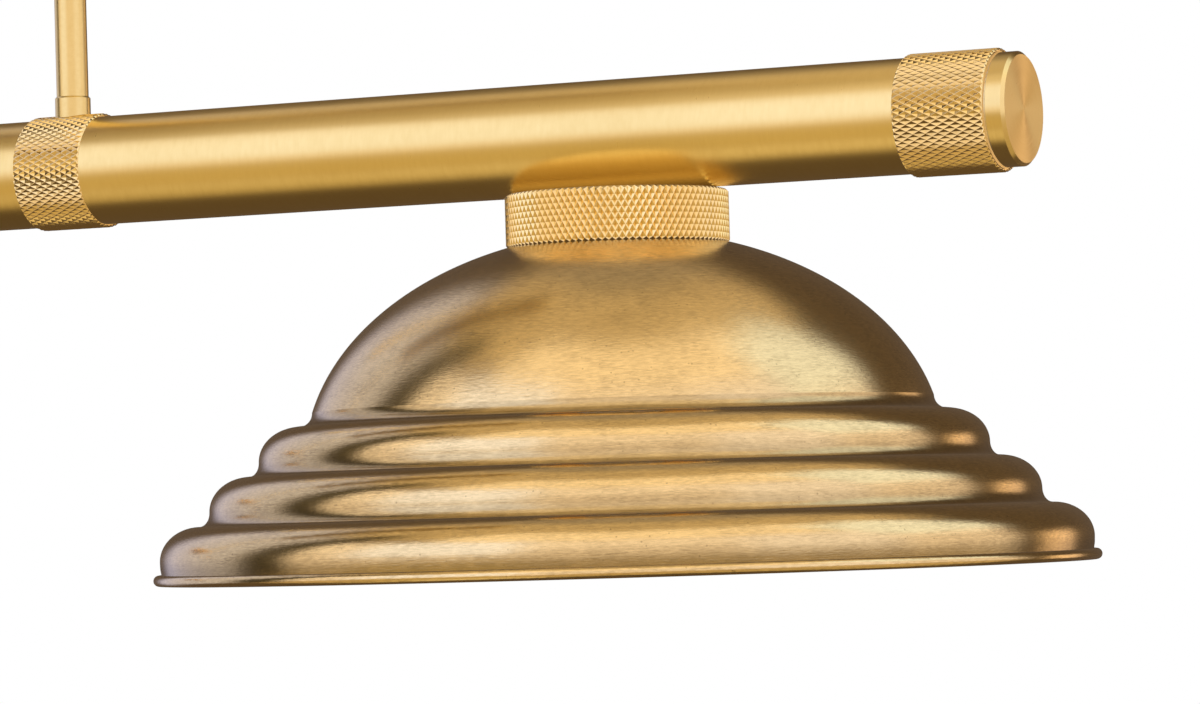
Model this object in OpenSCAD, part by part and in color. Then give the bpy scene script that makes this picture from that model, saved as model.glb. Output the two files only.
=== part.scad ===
// Three-shade billiard light. A straight round bar hangs on two rods from a long ceiling canopy and
// carries three stepped bell shades, each below a knurled neck. Ball swivels at the canopy let the
// whole light hang plumb and sway fore and aft.
// Origin: the middle of the mounting strap's top face, which lies on the ceiling.
// X runs along the bar, +Z is up and the front of the light faces -Y. Millimetres.

/* [Layout] */
// Distance between the axes of neighbouring shades
shade_pitch = 508; // [490:1:620]
// Distance from an outer shade's axis in to the axis of the nearer rod
rod_reach = 238.5; // [225:0.5:265]
// Distance from an outer shade's axis to the outer face of the bar's end cap
bar_reach = 164.5; // [130:0.5:220]
// Largest sway of the light to the front and to the back, in degrees
sway_limit = 25; // [10:1:30]

/* [Bar] */
// Outside diameter of the bar
bar_od = 42.8; // [34:0.1:54]
// Wall of the bar
bar_wall = 1.5; // [1:0.1:3]
// Thickness of the rings that sleeve the bar
band_wall = 1.3; // [0.8:0.1:3]
// Width of the ring at each rod
collar_w = 30; // [20:0.5:44]
// Width of the sleeve at each end of the bar
sleeve_w = 35; // [24:0.5:50]
// Chamfer on the edges of the rings and sleeves
band_chamfer = 0.6; // [0.2:0.1:1]
// Visible thickness of the end cap
cap_w = 7.4; // [4:0.2:14]
// Width of the shadow gap between the end sleeve and the end cap
cap_gap = 0.6; // [0.3:0.1:1.5]
// How far the end cap's edge lies inside the bar's outside radius
cap_inset = 0.4; // [0:0.1:2]
// Chamfer round the end cap's outer face
cap_chamfer = 1.2; // [0.4:0.1:2.5]
// Radius of the end cap's threaded spigot
spigot_r = 8; // [5:0.5:12]
// Thickness of the plug inside each end of the bar
plug_w = 12; // [8:0.5:20]

/* [Neck] */
// Outside diameter of the knurled neck above each shade
neck_od = 84.5; // [66:0.5:102]
// Height of the neck
neck_h = 20; // [16:0.5:30]
// Side wall of the neck
neck_wall = 4.2; // [2:0.1:8]
// Top wall of the neck
neck_top = 4; // [2:0.1:6]
// Chamfer on the neck's edges
neck_chamfer = 0.9; // [0.3:0.1:2]

/* [Shade] */
// Outside diameter over the rolled rim
rim_d = 355.6; // [330:0.1:430]
// Height from the middle of the rolled rim to the flat top
shade_h = 121; // [100:0.5:146]
// Metal thickness
shade_t = 1.2; // [0.8:0.1:2]
// Number of steps below the dome
step_count = 3; // [2:1:4]
// Height of one step
step_rise = 18.1; // [14:0.1:22]
// Width of one step
step_run = 18.9; // [18.2:0.1:23]
// Radius of the inward crease between two steps
valley_r = 3; // [2:0.1:5]
// Straight wall above the rim
rim_wall = 4.65; // [3:0.05:10]
// How far the dome's widest level lies below the top step
dome_sink = 14.3; // [8:0.1:20]
// How far the dome's widest level is wider than its foot
dome_swell = 1.7; // [0.5:0.1:4]
// Radius of the rolled rim
bead_r = 2.05; // [1.6:0.05:3]
// How far the rolled rim stands out from the wall above it
bead_proud = 2.6; // [1.6:0.1:3.4]

/* [Lamp socket] */
// Inside radius of the screw shell, for a medium lamp base
shell_r = 13.25; // [12:0.05:20]
// Length of the screw shell's threaded stretch
shell_l = 24; // [20:0.5:30]
// Metal thickness of the screw shell
shell_t = 0.65; // [0.4:0.05:1]
// Inside radius of the closed end of the shell
shell_end_r = 11; // [8:0.1:12]
// Depth of the space for the centre contact
contact_space = 3.5; // [3:0.1:6]
// Setback of the shell in the socket's mouth
mouth_lip = 1; // [0.5:0.1:3]
// Thickness of the moulded wall round the shell
socket_wall = 2.5; // [1.5:0.1:4]
// Thickness of the socket's cap, which takes the threaded tube
socket_cap = 11; // [9:0.5:20]
// How far the socket's threaded band stands out from its lower body
skirt_step = 1.6; // [1:0.1:4]
// Outside radius of the ring nut that clamps the shade
ring_r = 27; // [24:0.5:32]
// Thickness of the ring nut
ring_t = 5; // [3:0.5:10]
// Number of spanner notches in the ring nut
ring_notches = 8; // [4:1:16]

/* [Rods] */
// Outside diameter of the rods
rod_od = 12.7; // [10.5:0.1:16]
// Wall of the rods
rod_wall = 1.35; // [1:0.05:1.6]
// Length of each upper rod
upper_rod_l = 152.4; // [100:0.1:400]
// Length of each lower rod
lower_rod_l = 304.8; // [150:0.1:610]
// How far the foot stands out round the rod
foot_step = 0.7; // [0.3:0.1:3]
// Height of the foot above the ring on the bar
foot_h = 7.4; // [5:0.2:14]
// Length of thread in the end of a rod
rod_thread_l = 14; // [10:0.5:30]

/* [Swivel] */
// Radius of the ball
ball_r = 10.5; // [8.5:0.1:13]
// Wall of the cup round the ball
cup_wall = 2.4; // [1.5:0.1:4]
// Metal between the ball and the canopy
cup_crown = 5.4; // [4:0.1:10]
// Width of the cup's flange beyond the cup
flange_w = 3; // [2:0.1:6]
// Thickness of the flange
flange_t = 3; // [2:0.1:4]
// Neck of bare stem between the ball and the rod's shoulder
stem_gap = 1.5; // [1:0.1:4]
// Thickness of the shoulder that meets the rod
shoulder_t = 3; // [2:0.1:6]

/* [Canopy] */
// Width of the canopy, front to back
canopy_w = 114; // [95:1:140]
// Depth of the canopy below the ceiling
canopy_h = 28; // [24:0.5:40]
// Sheet thickness
canopy_t = 1.5; // [1:0.1:2.5]
// Radius of the upright corners, seen from below
canopy_corner = 20; // [12:0.5:40]
// Radius of the edge round the canopy's face
canopy_edge = 5; // [3:0.5:10]
// Canopy beyond each rod's axis
canopy_end = 41.5; // [30:0.5:80]
// Height of the lock nut inside the canopy
lock_nut_t = 5; // [3:0.5:8]
// Thickness of the washer under the lock nut
washer_t = 1.2; // [0.8:0.1:2]

/* [Mounting strap] */
// Width of the strap
strap_w = 25; // [18:0.5:32]
// Thickness of the strap
strap_t = 2.5; // [2:0.1:4]
// Gap between the strap's end and the nearer rod axis
strap_gap = 23.5; // [14:0.5:60]
// Distance between the middles of the two slots for the ceiling box
box_spacing = 88.9; // [70:0.1:100]
// Width of the slots
slot_w = 5.2; // [4.5:0.1:7]
// Length of the slots, end to end
slot_l = 24; // [10:0.5:34]
// Distance of the anchor holes from the strap's ends
anchor_edge = 15; // [8:0.5:30]
// Radius of the anchor holes
anchor_r = 2.8; // [2:0.1:4]
// Distance from the middle of the canopy to each of its two studs
stud_x = 150; // [110:1:170]
// Radius of the studs
stud_r = 2; // [1.5:0.1:3]
// Radius of the cap nuts under the canopy
cap_nut_r = 6; // [5:0.5:9]
// Height of the cap nuts
cap_nut_h = 9; // [7:0.5:14]
// Solid end of the cap nuts, below their threads
cap_nut_end = 3.5; // [2.5:0.5:5]
// Width over the flats of the nuts on the studs
stud_nut_flats = 7; // [6:0.5:10]
// Thickness of the nuts on the studs
stud_nut_t = 3; // [2:0.2:4]
// Distance from the strap's middle to the ground screw
ground_x = 20; // [15:1:24]

/* [Saddle nuts] */
// Thickness of the curved nuts inside the bar
saddle_t = 8; // [6:0.5:12]
// Length of the nuts along the bar
saddle_l = 26; // [18:1:40]
// Width of the nuts across the bar
saddle_w = 24; // [16:1:28]

/* [Wiring] */
// Radius of a lead over its insulation
lead_r = 1; // [0.8:0.05:1.1]

/* [Fits] */
// Radial clearance of a screwed fit
thread_fit = 0.05; // [0.03:0.01:0.1]
// Gap between faces that seat on each other
seat_fit = 0.05; // [0.02:0.01:0.1]
// Radial clearance of a screw or tube in a plain hole
hole_fit = 0.25; // [0.1:0.05:0.5]
// Radial running clearance of the ball in its cup
ball_fit = 0.1; // [0.05:0.01:0.1]

/* [Hidden] */
$fn = 96;

// Small chamfer on turned edges, and the gap left at the end of a stud
edge = 0.8;
end_gap = 0.5;

brass = [0.86, 0.68, 0.38];
aged_brass = [0.66, 0.49, 0.27];
zinc = [0.72, 0.73, 0.74];
porcelain = [0.93, 0.92, 0.88];
copper = [0.78, 0.48, 0.30];
green_paint = [0.12, 0.45, 0.20];
black_cover = [0.08, 0.08, 0.08];
white_cover = [0.90, 0.90, 0.88];

// Places along the bar
shade_xs = [-shade_pitch, 0, shade_pitch];
rod_x = shade_pitch - rod_reach;
rod_xs = [-rod_x, rod_x];
bar_half = shade_pitch + bar_reach;
tube_half = bar_half - cap_w - cap_gap;

// Radii round the bar's axis
bar_r = bar_od / 2;
bar_ir = bar_r - bar_wall;
band_r = bar_r + band_wall;
cap_r = bar_r - cap_inset;

// Screwed tubes
stem_wall = 1.5;
rod_r = rod_od / 2;
thread_r = rod_r - rod_wall;
male_r = thread_r - thread_fit;
wire_bore_r = thread_r - stem_wall;
clear_r = thread_r + hole_fit;

// Swivel, measured from the middle of the ball
cavity_r = ball_r + ball_fit;
lip_angle = sway_limit + asin(thread_r / cavity_r) + 2.4;
lip_drop = cavity_r * cos(lip_angle);
lip_r = cavity_r * sin(lip_angle);
cup_top = cavity_r + cup_crown;
shoulder_drop = ball_r + stem_gap;

// Levels, from the ceiling down
z_canopy = -canopy_h;
z_pivot = z_canopy - cup_top;
z_rod_top = z_pivot - shoulder_drop - shoulder_t;
z_rod_joint = z_rod_top - upper_rod_l;
z_foot = z_rod_joint - lower_rod_l;
z_bar = z_foot - foot_h - band_r;
z_neck = z_bar - bar_r - seat_fit;
z_land = z_neck - neck_h;
z_rim = z_land - shade_h;

// Where the leads cross the bar, just above the necks' threaded tubes
tube_proud = 1;
lead_gap = 0.3;
z_nipple_top = z_bar - bar_ir + saddle_t + tube_proud;
z_lead = z_nipple_top + lead_r + lead_gap;
lead_y = lead_r + lead_gap;

// Socket
socket_bore_r = shell_r + shell_t + seat_fit;
socket_r = socket_bore_r + socket_wall;
skirt_r = socket_r + skirt_step;
z_socket = z_neck - neck_top - seat_fit;
z_contact = z_socket - socket_cap;
z_shell_end = z_contact - contact_space - shell_t;
z_mouth = z_shell_end - shell_l - shell_t - mouth_lip;
skirt_low = z_land - shade_t - ring_t - 3;

// Canopy and strap
canopy_l = 2 * (rod_x + canopy_end);
strap_l = 2 * (rod_x - strap_gap);
anchor_x = strap_l / 2 - anchor_edge;
z_swivel_neck = z_canopy + canopy_t + washer_t + lock_nut_t + 2;

// Shade
wall_r = rim_d / 2 - bead_proud;
bulge_r = step_rise - valley_r;
dome_foot_r = wall_r - step_count * step_run;
dome_a = dome_foot_r + dome_swell;
land_r = neck_od / 2;
shade_hole_r = skirt_r + 3 * hole_fit;
bead_x = rim_d / 2 - bead_r;

// Height of the shelf on top of step i above the rim; step 1 is the highest
function shelf_z(i) = rim_wall + bulge_r + (step_count - i) * step_rise;
// Radius of the wall of step i
function step_r(i) = dome_foot_r + i * step_run;

dome_z = shelf_z(1) - dome_sink;
dome_b = (shade_h - dome_z) / sqrt(1 - pow(land_r / dome_a, 2));
dome_low = asin((shelf_z(1) + valley_r - dome_z) / dome_b);
dome_high = acos(land_r / dome_a);

// Points of an arc about c from angle a to angle b
function arc(c, r, a, b, n) = [for (i = [0:n]) let (t = a + (b - a) * i / n) c + r * [cos(t), sin(t)]];
// Points of the dome, moved inwards by t along the normal
function dome(t, n) = [
    for (i = [0:n])
        let (u = dome_high + (dome_low - dome_high) * i / n,
             normal = [cos(u) / dome_a, sin(u) / dome_b])
        [dome_a * cos(u), dome_z + dome_b * sin(u)] - t * normal / norm(normal)
];
// One step moved inwards by t: the crease at its foot, its shelf and its rounded wall
function step(i, t) = concat(
    arc([step_r(i - 1) + valley_r, shelf_z(i) + valley_r], valley_r + t, 180, 270, 4),
    arc([step_r(i) - bulge_r, shelf_z(i) - bulge_r], bulge_r - t, 90, 0, 10)
);
// The shade's side from its flat top to its rim
function side(t) = concat(dome(t, 18), [for (i = [1:step_count]) each step(i, t)]);
function reversed(list) = [for (i = [len(list) - 1:-1:0]) list[i]];

shade_profile = concat(
    [[shade_hole_r, shade_h]],
    side(0),
    arc([bead_x, 0], bead_r, acos((wall_r - bead_x) / bead_r),
        acos((wall_r - shade_t - bead_x) / bead_r) - 360, 14),
    reversed(side(shade_t)),
    [[shade_hole_r, shade_h - shade_t]]
);

// Helpers
module along_x() rotate([0, 90, 0]) children();
module on_right_end(side) mirror([side < 0 ? 1 : 0, 0, 0]) children();
module turned(points) rotate_extrude() polygon(points);

// A tube about Z from z0 up to z1
module tube(r, bore, z0, z1) {
    translate([0, 0, z0]) difference() {
        cylinder(r = r, h = z1 - z0);
        translate([0, 0, -1]) cylinder(r = bore, h = z1 - z0 + 2);
    }
}

// A ring about X with chamfered edges, centred at the origin
module band(r, bore, w, chamfer) {
    along_x() turned([
        [bore, -w / 2], [r - chamfer, -w / 2], [r, -w / 2 + chamfer],
        [r, w / 2 - chamfer], [r - chamfer, w / 2], [bore, w / 2]
    ]);
}

// A hexagon nut about Z, standing on z = 0
module hex_nut(flats, bore, t) {
    difference() {
        cylinder(r = flats / sqrt(3), h = t, $fn = 6);
        translate([0, 0, -1]) cylinder(r = bore, h = t + 2);
    }
}

// A plate with round corners, standing on z = 0
module rounded_plate(l, w, r, h) {
    linear_extrude(h) {
        square([l - 2 * r, w], center = true);
        square([l, w - 2 * r], center = true);
        for (x = [-1, 1], y = [-1, 1]) translate([x * (l / 2 - r), y * (w / 2 - r)]) circle(r);
    }
}

// Canopy: a pressed pan, open at the ceiling. Its wall section is swept round the four sides.
module canopy_section() {
    translate([canopy_corner - canopy_edge, 0]) {
        difference() {
            union() {
                translate([0, canopy_edge - canopy_h])
                    square([canopy_edge, canopy_h - canopy_edge]);
                translate([0, canopy_edge - canopy_h]) intersection() {
                    circle(canopy_edge);
                    translate([0, -canopy_edge]) square(canopy_edge);
                }
            }
            translate([-1, canopy_edge - canopy_h])
                square([canopy_edge - canopy_t + 1, canopy_h]);
            translate([0, canopy_edge - canopy_h]) circle(canopy_edge - canopy_t);
        }
    }
}

module canopy_side(length) {
    rotate([90, 0, 0]) linear_extrude(length, center = true) canopy_section();
}

module canopy() {
    corner_x = canopy_l / 2 - canopy_corner;
    corner_y = canopy_w / 2 - canopy_corner;
    floor_r = canopy_corner - canopy_edge;
    color(brass) difference() {
        union() {
            for (turn = [0, 180]) rotate([0, 0, turn]) {
                translate([corner_x, 0, 0]) canopy_side(2 * corner_y);
                translate([corner_x, corner_y, 0]) rotate_extrude(angle = 90) canopy_section();
                translate([0, corner_y, 0]) rotate([0, 0, 90]) canopy_side(2 * corner_x);
                translate([-corner_x, corner_y, 0]) rotate([0, 0, 90])
                    rotate_extrude(angle = 90) canopy_section();
            }
            translate([0, 0, z_canopy])
                rounded_plate(2 * (corner_x + floor_r), 2 * (corner_y + floor_r), floor_r, canopy_t);
        }
        for (x = rod_xs) translate([x, 0, z_canopy - 1]) cylinder(r = clear_r, h = canopy_t + 2);
        for (x = [-stud_x, stud_x])
            translate([x, 0, z_canopy - 1]) cylinder(r = stud_r + hole_fit, h = canopy_t + 2);
    }
}

// Flat steel strap screwed to the ceiling box through its two slots
module mounting_strap() {
    color(zinc) translate([0, 0, -strap_t]) difference() {
        rounded_plate(strap_l, strap_w, strap_w / 4, strap_t);
        for (side = [-1, 1]) {
            translate([side * box_spacing / 2, 0, -1]) linear_extrude(strap_t + 2) {
                square([slot_l - slot_w, slot_w], center = true);
                for (end = [-1, 1]) translate([end * (slot_l - slot_w) / 2, 0]) circle(slot_w / 2);
            }
            translate([side * anchor_x, 0, -1]) cylinder(r = anchor_r, h = strap_t + 2);
            translate([side * stud_x, 0, -1]) cylinder(r = stud_r + thread_fit, h = strap_t + 2);
        }
        translate([ground_x, 0, -1]) cylinder(r = stud_r + thread_fit, h = strap_t + 2);
    }
}

// The two studs stop just short of the ceiling and reach into the cap nuts
module strap_studs() {
    low = z_canopy - cap_nut_h + cap_nut_end + end_gap;
    color(zinc) for (x = [-stud_x, stud_x])
        translate([x, 0, low]) cylinder(r = stud_r, h = -end_gap - low);
}

module stud_nuts() {
    color(zinc) for (x = [-stud_x, stud_x])
        translate([x, 0, -strap_t - seat_fit - stud_nut_t])
            hex_nut(stud_nut_flats, stud_r + thread_fit, stud_nut_t);
}

// Round cap nuts that draw the canopy up to the ceiling
module canopy_cap_nuts() {
    dome_h = 3;
    dome_centre = 1.2 * cap_nut_r;
    color(brass) for (x = [-stud_x, stud_x]) translate([x, 0, z_canopy - seat_fit]) difference() {
        translate([0, 0, dome_h - cap_nut_h]) union() {
            cylinder(r = cap_nut_r, h = cap_nut_h - dome_h);
            intersection() {
                translate([0, 0, dome_centre]) sphere(norm([cap_nut_r, dome_centre]));
                translate([0, 0, -dome_h]) cylinder(r = cap_nut_r, h = dome_h);
            }
        }
        translate([0, 0, cap_nut_end - cap_nut_h]) cylinder(r = stud_r + thread_fit, h = cap_nut_h);
    }
}

// Green screw for the earth wire
module ground_screw() {
    head_r = 4.2;
    head_h = 2.4;
    tail = 7;
    color(green_paint) translate([ground_x, 0, -strap_t - seat_fit]) {
        translate([0, 0, -tail]) cylinder(r = stud_r, h = tail + strap_t - 2 * seat_fit);
        translate([0, 0, -head_h]) cylinder(r = head_r, h = head_h);
    }
}

// Turned cup with a threaded neck that passes up through the canopy
module swivel_cup(x) {
    cup_r = cavity_r + cup_wall;
    flange_r = cup_r + flange_w;
    color(brass) translate([x, 0, z_pivot]) difference() {
        turned([
            [0, -lip_drop], [lip_r + cup_wall * 0.7, -lip_drop],
            [cup_r - 0.4, -lip_drop * 0.45], [cup_r, 0],
            [cup_r, cup_top - seat_fit - flange_t],
            [flange_r - edge, cup_top - seat_fit - flange_t],
            [flange_r, cup_top - seat_fit - flange_t + edge],
            [flange_r, cup_top - seat_fit],
            [male_r, cup_top - seat_fit], [male_r, z_swivel_neck - z_pivot],
            [0, z_swivel_neck - z_pivot]
        ]);
        sphere(cavity_r);
        cylinder(r = wire_bore_r, h = z_swivel_neck - z_pivot + 1);
    }
}

module swivel_washers() {
    rim = 4;
    color(zinc) for (x = rod_xs) translate([x, 0, 0])
        tube(thread_r + rim, clear_r, z_canopy + canopy_t + seat_fit, z_canopy + canopy_t + washer_t);
}

module swivel_lock_nuts() {
    flats = 2 * thread_r + 4;
    color(zinc) for (x = rod_xs) translate([x, 0, z_canopy + canopy_t + washer_t + seat_fit])
        hex_nut(flats, thread_r, lock_nut_t);
}

// Ball with a hollow stem that screws into the upper rod
module swivel_ball(x) {
    thread_end = z_rod_top - rod_thread_l + 2 - z_pivot;
    color(brass) translate([x, 0, z_pivot]) difference() {
        union() {
            sphere(ball_r);
            translate([0, 0, -shoulder_drop - 1]) cylinder(r = thread_r, h = shoulder_drop + 1);
            turned([
                [0, thread_end], [male_r, thread_end],
                [male_r, -shoulder_drop - shoulder_t + seat_fit],
                [rod_r, -shoulder_drop - shoulder_t + seat_fit],
                [rod_r, -shoulder_drop - edge], [rod_r - edge, -shoulder_drop], [0, -shoulder_drop]
            ]);
        }
        translate([0, 0, thread_end - 1]) cylinder(r = wire_bore_r, h = ball_r - thread_end + 2);
    }
}

module upper_rod(x) {
    color(brass) translate([x, 0, 0]) tube(rod_r, thread_r, z_rod_joint, z_rod_top);
}

module lower_rod(x) {
    color(brass) translate([x, 0, 0]) tube(rod_r, thread_r, z_foot, z_rod_joint - seat_fit);
}

// Hollow studs that join the upper and lower rods
module rod_couplers() {
    color(zinc) for (x = rod_xs) translate([x, 0, 0])
        tube(male_r, wire_bore_r, z_rod_joint - rod_thread_l, z_rod_joint + rod_thread_l);
}

// Turned foot, cut underneath to sit on the round ring
module rod_foot(x) {
    foot_r = rod_r + foot_step;
    color(brass) translate([x, 0, 0]) difference() {
        turned([
            [clear_r, z_foot - foot_h - band_wall], [foot_r, z_foot - foot_h - band_wall],
            [foot_r, z_foot - seat_fit - 0.6], [foot_r - 0.6, z_foot - seat_fit],
            [clear_r, z_foot - seat_fit]
        ]);
        translate([0, 0, z_bar]) along_x() cylinder(r = band_r + seat_fit, h = 4 * foot_r, center = true);
    }
}

// Hollow studs from each rod through the ring and the bar's top wall
module rod_nipples() {
    color(zinc) for (x = rod_xs) translate([x, 0, 0])
        tube(male_r, wire_bore_r, z_bar + bar_ir - saddle_t - tube_proud, z_foot + rod_thread_l);
}

// Ring round the bar at a rod, pinned by the rod's stud
module rod_collar(x) {
    color(brass) translate([x, 0, z_bar]) difference() {
        band(band_r, bar_r + seat_fit, collar_w, band_chamfer);
        cylinder(r = clear_r, h = 2 * bar_r);
    }
}

// Saddle nuts fit the inside of the bar: two under its top wall, three on its bottom wall
module saddle_nut() {
    difference() {
        intersection() {
            along_x() cylinder(r = bar_ir - seat_fit, h = saddle_l, center = true);
            translate([-saddle_l, -saddle_w / 2, bar_ir - saddle_t])
                cube([2 * saddle_l, saddle_w, saddle_t]);
        }
        cylinder(r = thread_r, h = 2 * bar_r);
    }
}

module saddle_nuts() {
    color(zinc) {
        for (x = rod_xs) translate([x, 0, z_bar]) saddle_nut();
        for (x = shade_xs) translate([x, 0, z_bar]) mirror([0, 0, 1]) saddle_nut();
    }
}

module bar_tube() {
    color(brass) translate([0, 0, z_bar]) difference() {
        along_x() cylinder(r = bar_r, h = 2 * tube_half, center = true);
        along_x() cylinder(r = bar_ir, h = 2 * tube_half + 2, center = true);
        for (x = rod_xs) translate([x, 0, 0]) cylinder(r = clear_r, h = 2 * bar_r);
        for (x = shade_xs) translate([x, 0, -2 * bar_r]) cylinder(r = clear_r, h = 2 * bar_r);
    }
}

module end_sleeve(side) {
    color(brass) on_right_end(side) translate([tube_half - sleeve_w / 2, 0, z_bar])
        band(band_r, bar_r + seat_fit, sleeve_w, band_chamfer);
}

// Tapped plug pressed into the bar's end
module end_plug(side) {
    color(zinc) on_right_end(side) translate([tube_half - plug_w / 2, 0, z_bar])
        band(bar_ir - seat_fit, spigot_r, plug_w, 0.5);
}

// Solid turned cap with a spigot that screws into the plug
module end_cap(side) {
    face = bar_half;
    back = face - cap_w;
    color(brass) on_right_end(side) translate([0, 0, z_bar]) along_x() turned([
        [0, tube_half - plug_w + 2], [spigot_r - thread_fit, tube_half - plug_w + 2],
        [spigot_r - thread_fit, tube_half + seat_fit], [bar_ir, tube_half + seat_fit],
        [bar_ir, back], [cap_r - 0.3, back], [cap_r, back + 0.3],
        [cap_r, face - cap_chamfer], [cap_r - cap_chamfer, face], [0, face]
    ]);
}

// Neck: a turned cup over the socket, its flat top drawn up against the bar
module neck(x) {
    r = neck_od / 2;
    c = neck_chamfer;
    bottom = -neck_h + seat_fit;
    color(brass) translate([x, 0, z_neck]) turned([
        [clear_r, -neck_top], [r - neck_wall, -neck_top], [r - neck_wall, bottom],
        [r - c, bottom], [r, bottom + c], [r, -c], [r - c, 0], [clear_r, 0]
    ]);
}

module neck_nipples() {
    color(zinc) for (x = shade_xs) translate([x, 0, 0])
        tube(male_r, wire_bore_r, z_socket - socket_cap + 3, z_nipple_top);
}

// Moulded socket: a tube round the screw shell, with a threaded band that takes the ring nut
module socket(x) {
    color(porcelain) translate([x, 0, 0]) turned([
        [socket_bore_r, z_contact], [socket_bore_r, z_mouth],
        [socket_r - edge, z_mouth], [socket_r, z_mouth + edge],
        [socket_r, skirt_low], [skirt_r, skirt_low + skirt_step],
        [skirt_r, z_land + 3], [socket_r, z_land + 3 + skirt_step],
        [socket_r, z_contact]
    ]);
}

// Cap that screws into the socket's top, hollow round the shell's end and tapped for the neck's tube
module socket_cap(x) {
    spigot = socket_bore_r - thread_fit;
    end_space_r = shell_end_r + shell_t + seat_fit;
    color(porcelain) translate([x, 0, 0]) turned([
        [end_space_r, z_contact], [end_space_r, z_shell_end + seat_fit],
        [spigot, z_shell_end + seat_fit], [spigot, z_contact + seat_fit],
        [socket_r, z_contact + seat_fit], [socket_r, z_socket - 2], [socket_r - 2, z_socket],
        [thread_r, z_socket], [thread_r, z_contact + 2],
        [wire_bore_r, z_contact + 2], [wire_bore_r, z_contact]
    ]);
}

// Drawn shell with its closed-in end and the tab that takes the neutral lead
module screw_shell(x) {
    outer = shell_r + shell_t;
    end_outer = shell_end_r + shell_t;
    low = z_mouth + mouth_lip;
    top = z_contact - seat_fit;
    color(brass) translate([x, 0, 0]) {
        turned([
            [shell_r, low], [outer, low], [outer, z_shell_end], [end_outer, z_shell_end],
            [end_outer, top], [end_outer - 2.5, top], [end_outer - 2.5, top - shell_t],
            [shell_end_r, top - shell_t], [shell_end_r, z_shell_end - shell_t],
            [shell_r, z_shell_end - shell_t]
        ]);
        translate([-2.5, 0.6, top - shell_t]) cube([5, shell_end_r - 0.8, shell_t]);
    }
}

// Spring tongue riveted to the roof of each socket
module centre_contacts() {
    color(copper) for (x = shade_xs) translate([x, 0, z_contact - seat_fit]) {
        translate([-2.5, -7.6, -0.6]) cube([5, 7, 0.6]);
        translate([0, -5.6, -1.1]) cylinder(r = 1.6, h = 1.1);
        translate([-2.5, -7.6, -0.6]) rotate([-14, 0, 0]) cube([5, 11, 0.5]);
    }
}

// Spun shade: a dome over three rounded steps, with a rolled rim
module shade(x) {
    color(aged_brass) translate([x, 0, z_rim]) turned(shade_profile);
}

module shade_ring(x) {
    notch_r = 2.5;
    bottom = z_land - shade_t - seat_fit - ring_t;
    color(brass) translate([x, 0, bottom]) difference() {
        turned([
            [skirt_r + thread_fit, 0], [ring_r - edge, 0], [ring_r, edge],
            [ring_r, ring_t - edge], [ring_r - edge, ring_t], [skirt_r + thread_fit, ring_t]
        ]);
        for (i = [0:ring_notches - 1]) rotate([0, 0, (i + 0.5) * 360 / ring_notches])
            translate([ring_r + 0.5, 0, -1]) cylinder(r = notch_r, h = ring_t + 2);
    }
}

// One lead: down the left rod, along the bar and down into each socket, crimped at the branches
module lead(y, drop_to) {
    translate([0, y, 0]) {
        translate([rod_xs[0], 0, z_lead]) cylinder(r = lead_r, h = z_pivot - 2 - z_lead);
        translate([0, 0, z_lead]) along_x() cylinder(r = lead_r, h = 2 * shade_pitch, center = true);
        for (x = shade_xs) translate([x, 0, drop_to]) cylinder(r = lead_r, h = z_lead - drop_to);
        for (x = concat(rod_xs[0], shade_xs)) translate([x, 0, z_lead]) sphere(lead_r + 0.2);
    }
}

module hot_lead() color(black_cover) lead(-lead_y, z_contact);
module neutral_lead() color(white_cover) lead(lead_y, z_contact);

canopy();
mounting_strap();
strap_studs();
stud_nuts();
canopy_cap_nuts();
ground_screw();
swivel_cup(rod_xs[0]);  // swivel_cup_left
swivel_cup(rod_xs[1]);  // swivel_cup_right
swivel_washers();
swivel_lock_nuts();
swivel_ball(rod_xs[0]);  // swivel_ball_left
swivel_ball(rod_xs[1]);  // swivel_ball_right
upper_rod(rod_xs[0]);  // upper_rod_left
upper_rod(rod_xs[1]);  // upper_rod_right
rod_couplers();
lower_rod(rod_xs[0]);  // lower_rod_left
lower_rod(rod_xs[1]);  // lower_rod_right
rod_foot(rod_xs[0]);  // rod_foot_left
rod_foot(rod_xs[1]);  // rod_foot_right
rod_nipples();
rod_collar(rod_xs[0]);  // rod_collar_left
rod_collar(rod_xs[1]);  // rod_collar_right
saddle_nuts();
bar_tube();
end_sleeve(-1);  // end_sleeve_left
end_sleeve(1);  // end_sleeve_right
end_plug(-1);  // end_plug_left
end_plug(1);  // end_plug_right
end_cap(-1);  // end_cap_left
end_cap(1);  // end_cap_right
neck(shade_xs[0]);  // neck_left
neck(shade_xs[1]);  // neck_middle
neck(shade_xs[2]);  // neck_right
neck_nipples();
socket(shade_xs[0]);  // socket_left
socket(shade_xs[1]);  // socket_middle
socket(shade_xs[2]);  // socket_right
socket_cap(shade_xs[0]);  // socket_cap_left
socket_cap(shade_xs[1]);  // socket_cap_middle
socket_cap(shade_xs[2]);  // socket_cap_right
screw_shell(shade_xs[0]);  // screw_shell_left
screw_shell(shade_xs[1]);  // screw_shell_middle
screw_shell(shade_xs[2]);  // screw_shell_right
centre_contacts();
shade(shade_xs[0]);  // shade_left
shade(shade_xs[1]);  // shade_middle
shade(shade_xs[2]);  // shade_right
shade_ring(shade_xs[0]);  // shade_ring_left
shade_ring(shade_xs[1]);  // shade_ring_middle
shade_ring(shade_xs[2]);  // shade_ring_right
hot_lead();
neutral_lead();
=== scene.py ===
"""Visual model of a three-shade billiard light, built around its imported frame.

Everything is in metres and in the frame's own axes: X runs along the bar, the front faces -Y, +Z is
up, and the origin is the middle of the mounting strap's top face, which lies on the ceiling.
"""

import enum
import logging
import math
from dataclasses import dataclass, field
from typing import Callable, ClassVar, Iterator, Mapping, Sequence

import bmesh
import bpy
from mathutils import Matrix, Vector


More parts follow.
